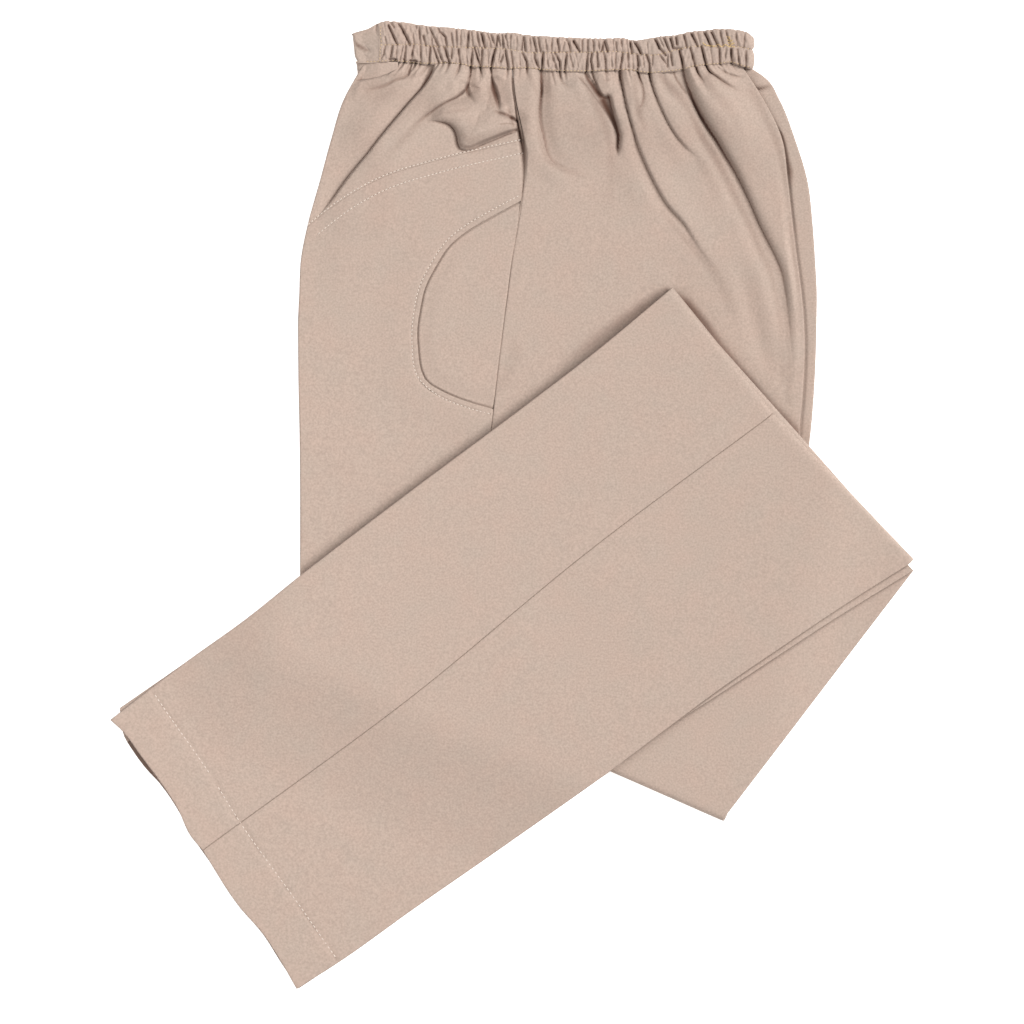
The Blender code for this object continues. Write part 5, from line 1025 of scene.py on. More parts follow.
def shin_rise(points):
    """The shin's slight waviness, its seam, its hem's second layer and the hollow along the stitches."""
    seam, _, _ = gaps_to(points, SHIN_SEAM_LINE)
    from_fold, _, _ = gaps_to(points, (CREASE_B.front, CREASE_B.back))
    stitches, _, side = gaps_to(points, HEM_STITCH_LINE)
    height, end, fade = HEM_ALLOWANCE
    rise = unevenness(points, *SHIN_WAVES) * ease(from_fold / FLAT_AT_FOLD) + groove(seam, *SHIN_SEAM_GROOVE)
    rise += allowance(stitches * side, height, -end, fade)
    return rise + trough(stitches, *HEM_TROUGH)


def layer_gap(distance, side):
    """How far a layer sinks beside the edge of the one on it, and for a little way under it."""
    beyond = 1.0 - ease((distance * side + 0.5 * LAYER_GAP_REACH) / LAYER_GAP_REACH)
    return LAYER_GAP * beyond * (1.0 - ease((distance - 3.0) / 2.0))


def knee_rise(points):
    """The knee's slight waviness, and a hollow close beside the shin that lies on it."""
    distance, _, side = gaps_to(points, SHIN_BACK_RIGHT_LINE)
    from_fold, _, _ = gaps_to(points, (CREASE_A.front, CREASE_A.back))
    gap = layer_gap(distance, side) * ease((from_fold - 1.0) / 4.0)
    return unevenness(points, *KNEE_WAVES) * ease(from_fold / FLAT_AT_FOLD) - gap


def shin_strip_rise(points):
    """Rise of the right shin where it shows beyond the left shin's edge: a hollow close beside it."""
    distance, _, side = gaps_to(points, SHIN_BACK_LINE)
    return -layer_gap(distance, side)


def strip_rise(points):
    """Rise of the right leg's upper side where it shows beyond the left leg's back edge: a lobe at the top
    with a crease under it, and a hollow close beside the left leg."""
    across, down = points[..., 0], points[..., 1]
    beyond = across - across_thigh("back_left", down)
    lobe = np.hypot((across - STRIP_BULGE[0]) / LOBE_SIZE[0], (down - STRIP_BULGE[1]) / LOBE_SIZE[1])
    hollow = ease((down - 48.0) / 10.0) * (1.0 - 0.3 * ease((down - 96.0) / 34.0))
    rise = LOBE_RISE * (1.0 - ease(lobe)) + creases(points, (STRIP_CREASE,))
    rise -= 0.5 * hollow * (1.0 - ease((beyond - 0.6) / 2.0))
    return limited(rise - 0.3 * (1.0 - ease(beyond / 2.0)), LOWEST_RISE)


# ------------------------------------------------------------------------------------------ folded surfaces

def pressed(turn, power=PRESSED):
    """How far out and how high a pressed fold is at this turn, in its radius. It is flatter than a round
    one."""
    out, up = np.sin(turn), np.cos(turn)
    return np.abs(out) ** power, np.sign(up) * np.abs(up) ** power


def folded(stretch, points, layer, turn=0.0):
    """Places in space of points at this layer height on a stretch of the folded legs, or on the turn into
    it."""
    if stretch == "thigh":
        height = layer
    elif stretch == "turn_a":
        radius = FOLD_A_HEIGHT - layer
        out, up = pressed(turn)
        height = FOLD_A_HEIGHT - radius * up
        points = points + OUT_A * (radius * out)[..., None]
    elif stretch == "knee":
        height = 2 * FOLD_A_HEIGHT - layer - knee_sag(points)
    elif stretch == "turn_b":
        radius = KNEE_GAP / 2 + layer
        out, up = pressed(turn)
        height = FOLD_B_HEIGHT - radius * up - knee_sag(points)
        points = points + OUT_B * (radius * out)[..., None]
    else:
        height = SHIN_BASE + layer - shin_sag(points)
    return np.stack([points[..., 0], -points[..., 1], height], -1)


Columns = namedtuple("Columns", "depth out up")


def lip_steps(wrap_steps=WRAP_STEPS):
    """A leg's rounded edge in section, from the underside to the top: distance in from the edge, depth, and
    the outward direction as parts towards the edge and up."""
    under = np.linspace(WRAP, NOSE, wrap_steps)[:-1]
    angle = np.linspace(np.pi, 0.0, NOSE_STEPS)
    across, up = pressed(angle, PRESSED_EDGE)
    top = np.array(LIP_TOP)
    place = np.concatenate([under, NOSE - NOSE * across, top])
    depth = np.concatenate([np.full(len(under), LEG), NOSE - NOSE * up, np.zeros(len(top))])
    out = np.concatenate([np.zeros(len(under)), np.sin(angle), np.zeros(len(top))])
    up = np.concatenate([-np.ones(len(under)), np.cos(angle), np.ones(len(top))])
    return place, depth, out, up


def row_places(length, count, lips, ends, wrap_steps):
    """Places of the columns across a row of this length."""
    place, _, _, _ = lip_steps(wrap_steps)
    edge = np.array(SEAM_STEPS)
    first = place if "first" in lips else edge + ends[0]
    last = length - (place if "last" in lips else edge + ends[1])[::-1]
    return np.concatenate([first[:-1], np.linspace(first[-1], last[0], count + 1), last[1:]])


def row_section(count, lips, wrap_steps):
    """Depth and outward direction of the columns across any row."""
    _, depth, out, up = lip_steps(wrap_steps)
    level = np.zeros(len(SEAM_STEPS))
    first = (depth, -out, up) if "first" in lips else (level, level, level + 1.0)
    last = (depth, out, up) if "last" in lips else (level, level, level + 1.0)
    middle = (np.zeros(count - 1), np.zeros(count - 1), np.ones(count - 1))
    return Columns(*[np.concatenate([a, b, c[::-1]]) for a, b, c in zip(first, middle, last)])


def patch(left, right, shares, step, lips="", top=None, bottom=None, ends=SEAM_ENDS, wrap_steps=WRAP_STEPS):
    """Points of a panel between two lines, with about this step between its columns, and the columns'
    section."""
    shares = np.asarray(shares, float)
    starts, far_ends = left(shares), right(shares)
    lengths = np.hypot(*(far_ends - starts).T)
    count = max(4, int(lengths.max() / step))
    places = np.array([row_places(length, count, lips, ends, wrap_steps) for length in lengths])
    s = (places / lengths[:, None])[..., None]
    t = shares[:, None, None]
    points = (1.0 - s) * starts[:, None] + s * far_ends[:, None]
    corners = (left(0.0), right(0.0), left(1.0), right(1.0))
    if top is not None:
        points = points + (1.0 - t) * (top(s[..., 0]) - (1.0 - s) * corners[0] - s * corners[1])
    if bottom is not None:
        points = points + t * (bottom(s[..., 0]) - (1.0 - s) * corners[2] - s * corners[3])
    return points, row_section(count, lips, wrap_steps)


def lowest_near(values, rows, columns):
    """The lowest value round each of the hidden side's points, so that it stays below the shown side's
    folds."""
    def by_rows(grid, at):
        return np.stack([grid[max(0, k - SHELL_EVERY):k + SHELL_EVERY + 1].min(0) for k in at])
    return by_rows(by_rows(values, rows).T, columns).T


def coarse(count):
    """Every few of so many places, with the last."""
    return np.array(list(range(0, count - 1, SHELL_EVERY)) + [count - 1])


def shell_faces(high, wide, rows, columns):
    """Faces of one closed wall between the shown grid and the coarser hidden one, whose points follow it."""
    at = lambda i, j: i * wide + j
    low = lambda i, j: high * wide + i * len(columns) + j
    i, j = np.meshgrid(np.arange(high - 1), np.arange(wide - 1), indexing="ij")
    shown = (at(i, j), at(i + 1, j), at(i + 1, j + 1), at(i, j + 1))
    faces = np.stack(shown, -1).reshape(-1, 4).tolist()
    i, j = np.meshgrid(np.arange(len(rows) - 1), np.arange(len(columns) - 1), indexing="ij")
    hidden = (low(i, j), low(i, j + 1), low(i + 1, j + 1), low(i + 1, j))
    faces += np.stack(hidden, -1).reshape(-1, 4).tolist()
    last_row, last_column = len(rows) - 1, len(columns) - 1
    for k in range(last_column):
        run = list(range(columns[k], columns[k + 1] + 1))
        faces.append([at(0, j) for j in run] + [low(0, k + 1), low(0, k)])
        faces.append([at(high - 1, j) for j in reversed(run)] + [low(last_row, k), low(last_row, k + 1)])
    for k in range(last_row):
        run = list(range(rows[k], rows[k + 1] + 1))
        faces.append([at(i, 0) for i in reversed(run)] + [low(k, 0), low(k + 1, 0)])
        faces.append([at(i, wide - 1) for i in run] + [low(k + 1, last_column), low(k, last_column)])
    return faces


def weave_coordinates(shown, rows, columns):
    """How far each point lies along the cloth's two directions, in metres."""
    across = np.linalg.norm(np.diff(shown, axis=1), axis=-1).mean(0)
    down = np.linalg.norm(np.diff(shown, axis=0), axis=-1).mean(1)
    u = np.concatenate([[0.0], np.cumsum(across)])
    v = np.concatenate([[0.0], np.cumsum(down)])
    fine = np.stack(np.meshgrid(u, v), -1).reshape(-1, 2)
    hidden = np.stack(np.meshgrid(u[columns], v[rows]), -1).reshape(-1, 2)
    return np.concatenate([fine, hidden]) * MM


def spread(values, reach):
    """Values averaged along the first axis over this many neighbours to each side."""
    first = np.repeat(values[:1], reach + 1, axis=0)
    last = np.repeat(values[-1:], reach, axis=0)
    sums = np.cumsum(np.concatenate([first, values, last]), axis=0)
    return (sums[2 * reach + 1:] - sums[:-2 * reach - 1]) / (2 * reach + 1)


def painted_crease_shade(lift, row_reach, column_reach):
    """Painted shade for each point of a grid, from 0 to 1: how far it lies in a crease, from its height below
    its surroundings.
    """
    around = lift
    for _ in range(2):
        around = spread(spread(around, row_reach).T, column_reach).T
    return np.clip((around - lift - SHADE_PAINT_FROM) / SHADE_PAINT_FULL, 0.0, 1.0)


def add_mesh(name, points, faces, weave=None, hollow=None):
    """A smooth mesh object from points in plan millimetres, with +Y up the page."""
    mesh = bpy.data.meshes.new(name)
    placed = points * MM + np.array([ZERO_ACROSS, ZERO_DOWN, 0.0])
    mesh.from_pydata(placed.tolist(), [], faces)
    # The hollow attribute carries painted shade, which the cloth's material multiplies into its colour.
    if hollow is not None:
        values = np.zeros(len(points), np.float32)
        values[:hollow.size] = hollow.ravel()
        mesh.attributes.new("hollow", "FLOAT", "POINT").data.foreach_set("value", values)
    if weave is not None:
        corners = np.empty(len(mesh.loops), np.int32)
        mesh.loops.foreach_get("vertex_index", corners)
        mesh.uv_layers.new(name="weave").data.foreach_set("uv", weave[corners].ravel().astype(np.float32))
    mesh.shade_smooth()
    mesh.set_sharp_from_angle(angle=SHARP)
    piece = bpy.data.objects.new(name, mesh)
    bpy.context.scene.collection.objects.link(piece)
    return piece


Run = namedtuple("Run", "stretch points turn hem")


def level_run(stretch, points):
    """Rows of points that lie flat on a stretch."""
    return Run(stretch, points, np.zeros(len(points)), None)


def fold_run(stretch, row, steps=TURN_ROWS, ends=True):
    """A row of points carried round the fold that leads to the next stretch, with or without its two ends."""
    turns = np.linspace(0.0, np.pi, steps) if ends else np.linspace(0.0, np.pi, steps + 2)[1:-1]
    return Run(stretch, np.repeat(row[None], steps, axis=0), turns, None)


def hem_run(points, outwards):
    """The hem from the last row of a shin: round its end, and back inside to its stitches."""
    end = points[-1] - outwards * HEM_TURN
    around = np.linspace(0.0, np.pi, HEM_TURN_STEPS)
    back = np.array([*HEM_BACK_ROWS, HEM_DEPTH - HEM_TURN])
    turned = np.repeat(end[None], HEM_TURN_STEPS, axis=0)
    places = np.concatenate([turned, end - outwards * back[:, None, None]])
    angles = np.concatenate([around, np.full(len(back), np.pi)])
    return Run("shin", places, np.zeros(len(places)), angles)


def placed_run(run, columns, leg, into, lift):
    """One side of the cloth on a run: this far into the cloth, with this much rise."""
    points, inset = run.points, np.full(len(run.points), into)
    if run.hem is not None:
        radius = HEM_TURN - into
        points = points + OUT_HEM * (radius * np.sin(run.hem))[:, None, None]
        inset = HEM_TURN - radius * np.cos(run.hem)
    across = points[:, -1] - points[:, 0]
    across = across / np.hypot(*across.T)[:, None]
    inset = inset[:, None] * np.ones(points.shape[:2])
    points = points - across[:, None] * (inset * columns.out)[..., None]
    depth = columns.depth + inset * columns.up - lift
    layer = STACK - depth if leg == "left" else depth
    return folded(run.stretch, points, layer, run.turn[:, None])


def placed(runs, columns, leg, into, lift):
    """One side of the cloth on all its runs, one after the other."""
    starts = np.cumsum([0] + [len(run.points) for run in runs])
    return np.concatenate([placed_run(run, columns, leg, into, lift[start:start + len(run.points)])
                           for run, start in zip(runs, starts)])


def hidden_lift(lift, columns, rows, picked):
    """Rise of the hidden side's points, which keep clear of the shown side's folds."""
    low = np.zeros(lift.shape)
    lowest = lowest_near(lift, rows, picked)
    highest = -lowest_near(-lift, rows, picked)
    low[np.ix_(rows, picked)] = np.where(columns.up[picked] < 0, highest, lowest)
    return low


def painted_shade(runs, columns, lift, plain, shades):
    """How much painted shade each point of a panel gets: in its creases, round the hem and a leg's edge, and
    in shades.
    """
    steps = [np.median(np.linalg.norm(np.diff(plain, axis=axis), axis=-1)) for axis in (0, 1)]
    reaches = [max(1, int(round(SHADE_PAINT_REACH / step))) for step in steps]
    dark = painted_crease_shade(lift * np.where(columns.up < 0, -1.0, 1.0), *reaches)
    turned = np.concatenate([np.zeros(len(run.points)) if run.hem is None else run.hem for run in runs])
    dark = np.maximum(dark, HEM_SHADE * ease((turned[:, None] - 0.9) / 0.8))
    beside = EDGE_SHADE * (1.0 - ease((np.abs(columns.up) - 0.4) / 0.55))
    dark = np.maximum(dark, beside[None] * np.ones((len(plain), 1)))
    if shades:
        shade = np.concatenate([shaded(run.points, shades) for run in runs])
        dark = np.maximum(dark, shade * np.abs(columns.up))
    return dark


def facing_out(faces, shown, hidden, row, column):
    """The faces, turned round if they would face from the shown side to the hidden one."""
    i, j = row * SHELL_EVERY, column * SHELL_EVERY
    down, across = shown[i + 1, j] - shown[i, j], shown[i, j + 1] - shown[i, j]
    if np.dot(np.cross(down, across), shown[i, j] - hidden[row, column]) < 0:
        return [face[::-1] for face in faces]
    return faces


def panel(node, leg, runs, columns, rise=None, name=None, under=None, shades=()):
    """A panel of thin cloth on its stretches of the folded leg, in place of its node. Rise and under are how
    far its outer face and the part turned in under it stand out. Shades paint shade into its deep folds."""
    outer = np.clip(columns.up, 0.0, 1.0)
    turned_in = np.clip(-columns.up, 0.0, 1.0)
    lifts = [rise(run.points) * outer if rise else np.zeros(run.points.shape[:2]) for run in runs]
    if under:
        lifts = [lift - under(run.points) * turned_in for run, lift in zip(runs, lifts)]
    lift = np.concatenate(lifts)
    shown = placed(runs, columns, leg, 0.0, lift)
    plain = placed(runs, columns, leg, 0.0, np.zeros(lift.shape))
    rows, picked = coarse(len(shown)), coarse(shown.shape[1])
    low = hidden_lift(lift, columns, rows, picked)
    hidden = placed(runs, columns, leg, CLOTH, low)[np.ix_(rows, picked)]
    faces = shell_faces(*shown.shape[:2], rows, picked)
    faces = facing_out(faces, shown, hidden, len(rows) // 2, len(picked) // 2)
    points = np.concatenate([shown.reshape(-1, 3), hidden.reshape(-1, 3)])
    # Painted shade in the panel's creases, round its hem and edges, and from its shade tables.
    dark = painted_shade(runs, columns, lift, plain, shades)
    piece = add_mesh(name or node + "_cloth", points, faces, weave_coordinates(plain, rows, picked), dark)
    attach(piece, "root")
    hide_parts(node)
    PIECES[piece.name] = piece


PIECES = {}


# ---------------------------------------------------------------------------------------------------- thigh

def under_band(first, last):
    """A panel's top edge, just under the waistband, as a function of the share of its width."""
    def at(share):
        across = first + (last - first) * np.asarray(share, float)
        return np.stack([across, band_edge(BAND_BOTTOM)(across) - BAND_TUCK], -1)
    return at


def spaced(*parts):
    """Shares from 0 to 1 in parts of (end, steps)."""
    shares, start = [np.zeros(1)], 0.0
    for end, steps in parts:
        shares.append(np.linspace(start, end, steps + 1)[1:])
        start = end
    return np.concatenate(shares)


YOKE_EDGE = line_through(*YOKE_SEAM)
YOKE_GAP = 0.05
FRONT_TURN = line_through(CREASE_A.front, CREASE_A.seam)
BACK_TURN = line_through(CREASE_A.seam, CREASE_A.back)


def back_left_thigh():
    """The back panel, with its folds above and plain under the shin."""
    covered, covered_down = 0.72, 216.0
    left = joined((covered, down_thigh("seam", BAND_BACK_DOWN, covered_down)),
                  (1.0, down_thigh("seam", covered_down, CREASE_A.seam[1])))
    right = joined((covered, down_thigh("back_left", BAND_RIGHT_DOWN, covered_down)),
                   (1.0, down_thigh("back_left", covered_down, CREASE_A.back[1])))
    shares = spaced((0.23, 112), (0.45, 66), (covered, 55), (0.8, 22), (1.0, 14))
    points, columns = patch(left, right, shares, 0.7, "last", under_band(SEAM_TOP, BACK_TOP_LEFT), BACK_TURN)
    panel("back_left_thigh", "left", [level_run("thigh", points)], columns, back_rise,
          shades=BACK_SHADES)


def yoke_left():
    """The yoke, from the waistband to the curved seam."""
    left = down_thigh("front", BAND_LEFT_DOWN, YOKE_FRONT_DOWN)
    right = down_thigh("seam", BAND_SEAM_DOWN, YOKE_SEAM_DOWN)
    bottom = lambda share: YOKE_EDGE(share) - (0.0, YOKE_GAP)
    points, columns = patch(left, right, np.linspace(0.0, 1.0, 170), 0.5, "first",
                            under_band(FRONT_TOP, SEAM_TOP), bottom)
    panel("yoke_left", "left", [level_run("thigh", points)], columns, yoke_rise,
          shades=FRONT_SHADES)


def front_left_thigh():
    """The front panel, cut away round the pocket mouth."""
    above, beside_mouth = 0.15, 0.68
    above_down, below_down = 132.0, 232.0
    left = joined((above, down_thigh("front", YOKE_FRONT_DOWN, above_down)),
                  (beside_mouth, down_thigh("front", above_down, below_down)),
                  (1.0, down_thigh("front", below_down, CREASE_A.front[1])))
    right = joined((above, down_thigh("seam", YOKE_SEAM_DOWN, POCKET_MOUTH[0][1])),
                   (beside_mouth, line_through(*POCKET_MOUTH)),
                   (1.0, down_thigh("seam", POCKET_MOUTH[-1][1], CREASE_A.seam[1])))
    top = lambda share: YOKE_EDGE(share) + (0.0, YOKE_GAP)
    shares = spaced((above, 30), (beside_mouth, 120), (1.0, 64))
    points, columns = patch(left, right, shares, 1.0, "first", top, FRONT_TURN)
    panel("front_left_thigh", "left", [level_run("thigh", points)], columns, front_rise,
          shades=FRONT_SHADES)


def pocket_facing_left():
    """The half-moon of cloth in the pocket mouth, which runs in under the front panel's edge."""
    mouth = traced(25, *POCKET_MOUTH)
    along = np.gradient(mouth, axis=0)
    outwards = np.stack([-along[:, 1], along[:, 0]], -1) / np.hypot(*along.T)[:, None]
    under = mouth + FACING_UNDER * outwards
    points, columns = patch(line_through(*under), down_thigh("seam", under[0, 1], under[-1, 1]),
                            np.linspace(0.01, 0.99, 180), 0.6)
    panel("pocket_facing_left", "left", [level_run("thigh", points)], columns, facing_rise)


def right_thigh():
    """The right leg's yoke, front and back, flat on the surface, with about 3 mm between columns."""
    step = 3.0
    points, columns = patch(down_thigh("front", BAND_LEFT_DOWN, YOKE_FRONT_DOWN),
                            down_thigh("seam", BAND_SEAM_DOWN, YOKE_SEAM_DOWN),
                            np.linspace(0.0, 1.0, 30), step, "first",
                            under_band(FRONT_TOP, SEAM_TOP), YOKE_EDGE)
    panel("yoke_right", "right", [level_run("thigh", points)], columns)
    points, columns = patch(down_thigh("front", YOKE_FRONT_DOWN, CREASE_A.front[1]),
                            down_thigh("seam", YOKE_SEAM_DOWN, CREASE_A.seam[1]),
                            np.linspace(0.0, 1.0, 90), step, "first", YOKE_EDGE, FRONT_TURN)
    panel("front_right_thigh", "right", [level_run("thigh", points)], columns)
    points, columns = patch(down_thigh("seam", BAND_BACK_DOWN, CREASE_A.seam[1]),
                            down_thigh("back_right", BAND_RIGHT_DOWN, CREASE_A.back[1]),
                            spaced((0.4, 190), (1.0, 90)), step, "last",
                            under_band(SEAM_TOP, BACK_TOP_RIGHT), BACK_TURN, wrap_steps=36)
    panel("back_right_thigh", "right", [level_run("thigh", points)], columns, under=strip_rise,
          shades=STRIP_SHADES)


# ------------------------------------------------------------------------------------------ knees and shins

SIDES = (("front", "front", "seam", "first"), ("back", "seam", "back", "last"))


def knee(leg):
    """Front and back of one leg between the creases. The right leg's cloth wraps the fold along crease A."""
    crease = LEGS[leg].crease
    step, rows = (3.0, 60) if leg == "left" else (1.1, 160)
    for side, first_end, last_end, lips in SIDES:
        left = line_through(getattr(CREASE_A, first_end), getattr(crease, first_end))
        right = line_through(getattr(CREASE_A, last_end), getattr(crease, last_end))
        points, columns = patch(left, right, np.linspace(0.0, 1.0, rows), step, lips)
        runs = [level_run("knee", points)]
        if leg == "right":
            runs = [fold_run("turn_a", points[0]), level_run("knee", points[1:])]
        panel(f"{side}_{leg}_knee", leg, runs, columns, knee_rise if leg == "right" else None)


def shin(leg):
    """Front and back of one leg from crease B to the hem. The left leg's cloth wraps the fold along crease
    B."""
    crease, hem, shin_back, hem_front, hem_back = LEGS[leg]
    hem_lines = {
        "front": line_through(hem.front, *hem_front, hem.seam),
        "back": line_through(hem.seam, *hem_back, hem.back),
    }
    edges = {
        "front": line_through(crease.front, *SHIN_FRONT, hem.front),
        "seam": line_through(crease.seam, *SHIN_SEAM, hem.seam),
        "back": line_through(crease.back, *shin_back, hem.back),
    }
    on_top = leg == "left"
    step, rows, back_wrap_steps = (1.4, 270, WRAP_STEPS) if on_top else (3.0, 130, 30)
    for side, first_end, last_end, lips in SIDES:
        wrap_steps = back_wrap_steps if side == "back" else WRAP_STEPS
        points, columns = patch(edges[first_end], edges[last_end], np.linspace(0.0, 1.0, rows), step, lips,
                                bottom=hem_lines[side], wrap_steps=wrap_steps)
        runs = [level_run("shin", points[:-1]), hem_run(points, OUT_HEM)]
        if on_top:
            runs = [fold_run("turn_b", points[0]), level_run("shin", points[1:-1]), runs[-1]]
        under = shin_strip_rise if side == "back" and not on_top else None
        panel(f"{side}_{leg}_shin", leg, runs, columns, shin_rise if on_top else None, under=under)


def inner_stretches(leg):
    """Points of one leg's inner half on its thigh, knee and shin, with as many columns on each."""
    crease, hem, shin_back, _, _ = LEGS[leg]
    inset = WRAP + 0.5
    top = 27.0
    stretches = (
        (
            down_thigh("front", top, CREASE_A.front[1]),
            down_thigh("back_left", top, CREASE_A.back[1]),
            np.linspace(0.0, 1.0, 60),
        ),
        (
            line_through(CREASE_A.front, crease.front),
            line_through(CREASE_A.back, crease.back),
            np.linspace(0.0, 1.0, 30),
        ),
        (
            line_through(crease.front, *SHIN_FRONT, hem.front),
            line_through(crease.back, *shin_back, hem.back),
            np.linspace(0.0, 0.993, 90),
        ),
    )
    grids = [patch(left, right, shares, 7.0, ends=(inset, inset))[0] for left, right, shares in stretches]
    count = min(grid.shape[1] for grid in grids)
    return [grid[:, np.linspace(0, grid.shape[1] - 1, count).round().astype(int)] for grid in grids]


def inner_halves():
    """The inner half of each leg, which no outer panel shows, as one sheet through both folds to the hem."""
    for leg in LEGS:
        thigh, knee_part, shin_part = inner_stretches(leg)
        level = np.ones(thigh.shape[1])
        columns = Columns(level * LEG, level * 0.0, -level)
        runs = [
            level_run("thigh", thigh),
            fold_run("turn_a", knee_part[0], ends=False),
            level_run("knee", knee_part),
            fold_run("turn_b", shin_part[0], ends=False),
            level_run("shin", shin_part[:-1]),
            hem_run(shin_part, OUT_HEM),
        ]
        panel("inner_layers", leg, runs, columns, name=f"inner_{leg}_leg")


# ------------------------------------------------------------------------------------------------ waistband

def loop_section(run, start, end, side):
    """A point of the waistband's flat loop in section: how far across it is, how high, and which way is
    out."""
    radius = BAND_HEIGHT / 2
    upper = abs(end - start) - radius
    turned = run - upper
    angle = np.clip(turned / radius, 0.0, np.pi)
    back = np.clip(turned - np.pi * radius, 0.0, None)
    across = start + side * (np.clip(run, 0.0, upper) + radius * np.sin(angle) - back)
    direction = np.stack([side * np.sin(angle), np.cos(angle)], -1)
    return across, radius + radius * np.cos(angle), direction


def loop_runs(start, end, upper_step, lower_step):
    """Runs round the loop for its columns, and the length of its upper side."""
    radius = BAND_HEIGHT / 2
    upper = abs(end - start) - radius
    around = np.pi * radius
    runs = np.concatenate([
        np.linspace(0.0, upper, max(3, int(upper / upper_step))),
        np.linspace(upper, upper + around, 24)[1:],
        np.linspace(upper + around, 2 * upper + around, max(3, int(upper / lower_step)))[1:],
    ])
    return runs, upper


def ring_edge(across, down):
    """The plain piece's end leans a little to the right on its way down, and stands out above the hip's
    edge."""
    lean = np.clip(down - BAND_TOP[0][1], 0.0, None) * END_LEAN - END_OUT * (1.0 - ease((down - 14.0) / 6.0))
    return across + lean * ease((BAND_PLAIN_END - across) / 12.0)


def channel_swell(points, height):
    """Rise of the two channels between the rows of stitches, and the share of it reached."""
    across, down = points[..., 0], points[..., 1]
    top, middle, bottom = (read(table, across) for table in (BAND_TOP, BAND_MIDDLE, BAND_BOTTOM))
    within = np.where(down < middle, (down - top) / (middle - top), (down - middle) / (bottom - middle))
    full = np.sin(np.pi * np.clip(within, 0.0, 1.0)) ** 0.55
    return height * full, full


def fine_gathers(points):
    """Small upright waves between the pleats, leaning this way and that."""
    draw = np.random.RandomState(GATHER_SEED)
    rise = np.zeros(points.shape[:-1])
    for _ in range(GATHER_WAVES):
        length = draw.uniform(*GATHER_LENGTH)
        lean = draw.uniform(-0.45, 0.45)
        phase, fade_phase = draw.uniform(0.0, 2.0 * np.pi, 2)
        fade_length = draw.uniform(14.0, 40.0)
        along = points[..., 0] + lean * points[..., 1]
        strength = 0.5 + 0.5 * np.sin(2.0 * np.pi * points[..., 0] / fade_length + fade_phase)
        rise += strength * np.sin(2.0 * np.pi * along / length + phase)
    return GATHER_HEIGHT * rise / np.sqrt(GATHER_WAVES)


def gathered_rise(points):
    """Rise of the gathered band: its channels, its pleats, which the stitches pinch, and fine gathers."""
    swell, full = channel_swell(points, CHANNEL_SWELL)
    pleats = creases(points, PLEATS)
    gathered = swell + pleats * (PLEAT_PINCH + (1.0 - PLEAT_PINCH) * full) + fine_gathers(points) * full
    share = ease((points[..., 0] - BAND_PLAIN_END) / BAND_BLEND)
    return share * gathered + (1.0 - share) * channel_swell(points, PLAIN_SWELL)[0]


def plain_rise(points):
    """The plain piece slopes off towards its end, with a few soft creases."""
    swell, _ = channel_swell(points, PLAIN_SWELL)
    slope = PLAIN_SLOPE * np.clip(BAND_PLAIN_END - points[..., 0], 0.0, None)
    return swell - slope + creases(points, PLAIN_CREASES)


def ring_rows(wide, row_count):
    """How far below the band's top edge its rows lie: round its upper edge, down its face and round its
    lower edge."""
    half = BAND_WALL / 2
    first = half * (1.0 - np.cos(np.linspace(0.0, np.pi / 2, 5)))[:-1, None] * np.ones(wide.shape)
    face = half + np.linspace(0.0, 1.0, row_count)[:, None] * (wide - 2 * half)
    return np.concatenate([first, face, wide - first[::-1]])


def ring_faces(rows, columns, side):
    """Faces of the band's wall: rows that close to a tube, and a cap at each end."""
    i, j = np.meshgrid(np.arange(rows), np.arange(columns - 1), indexing="ij")
    following = (i + 1) % rows
    corners = (i * columns + j, following * columns + j, following * columns + j + 1, i * columns + j + 1)
    faces = np.stack(corners, -1).reshape(-1, 4).tolist()
    faces += [[i * columns for i in range(rows)][::-1], [i * columns + columns - 1 for i in range(rows)]]
    return [face[::-1] for face in faces] if side > 0 else faces


def scallops(unrolled, shown, top, bottom, distance, wide):
    """How far the pleats pull the band's upper and lower edges in."""
    edge_rows = [np.stack([unrolled, place], -1) for place in (top + SCALLOP_ROW, bottom - SCALLOP_ROW)]
    above, below = [-creases(row, PLEATS) * shown * SCALLOP for row in edge_rows]
    from_top, from_bottom = np.exp(-distance / SCALLOP_REACH), np.exp(-(wide - distance) / SCALLOP_REACH)
    return above * from_top - SCALLOP_BELOW * below * from_bottom


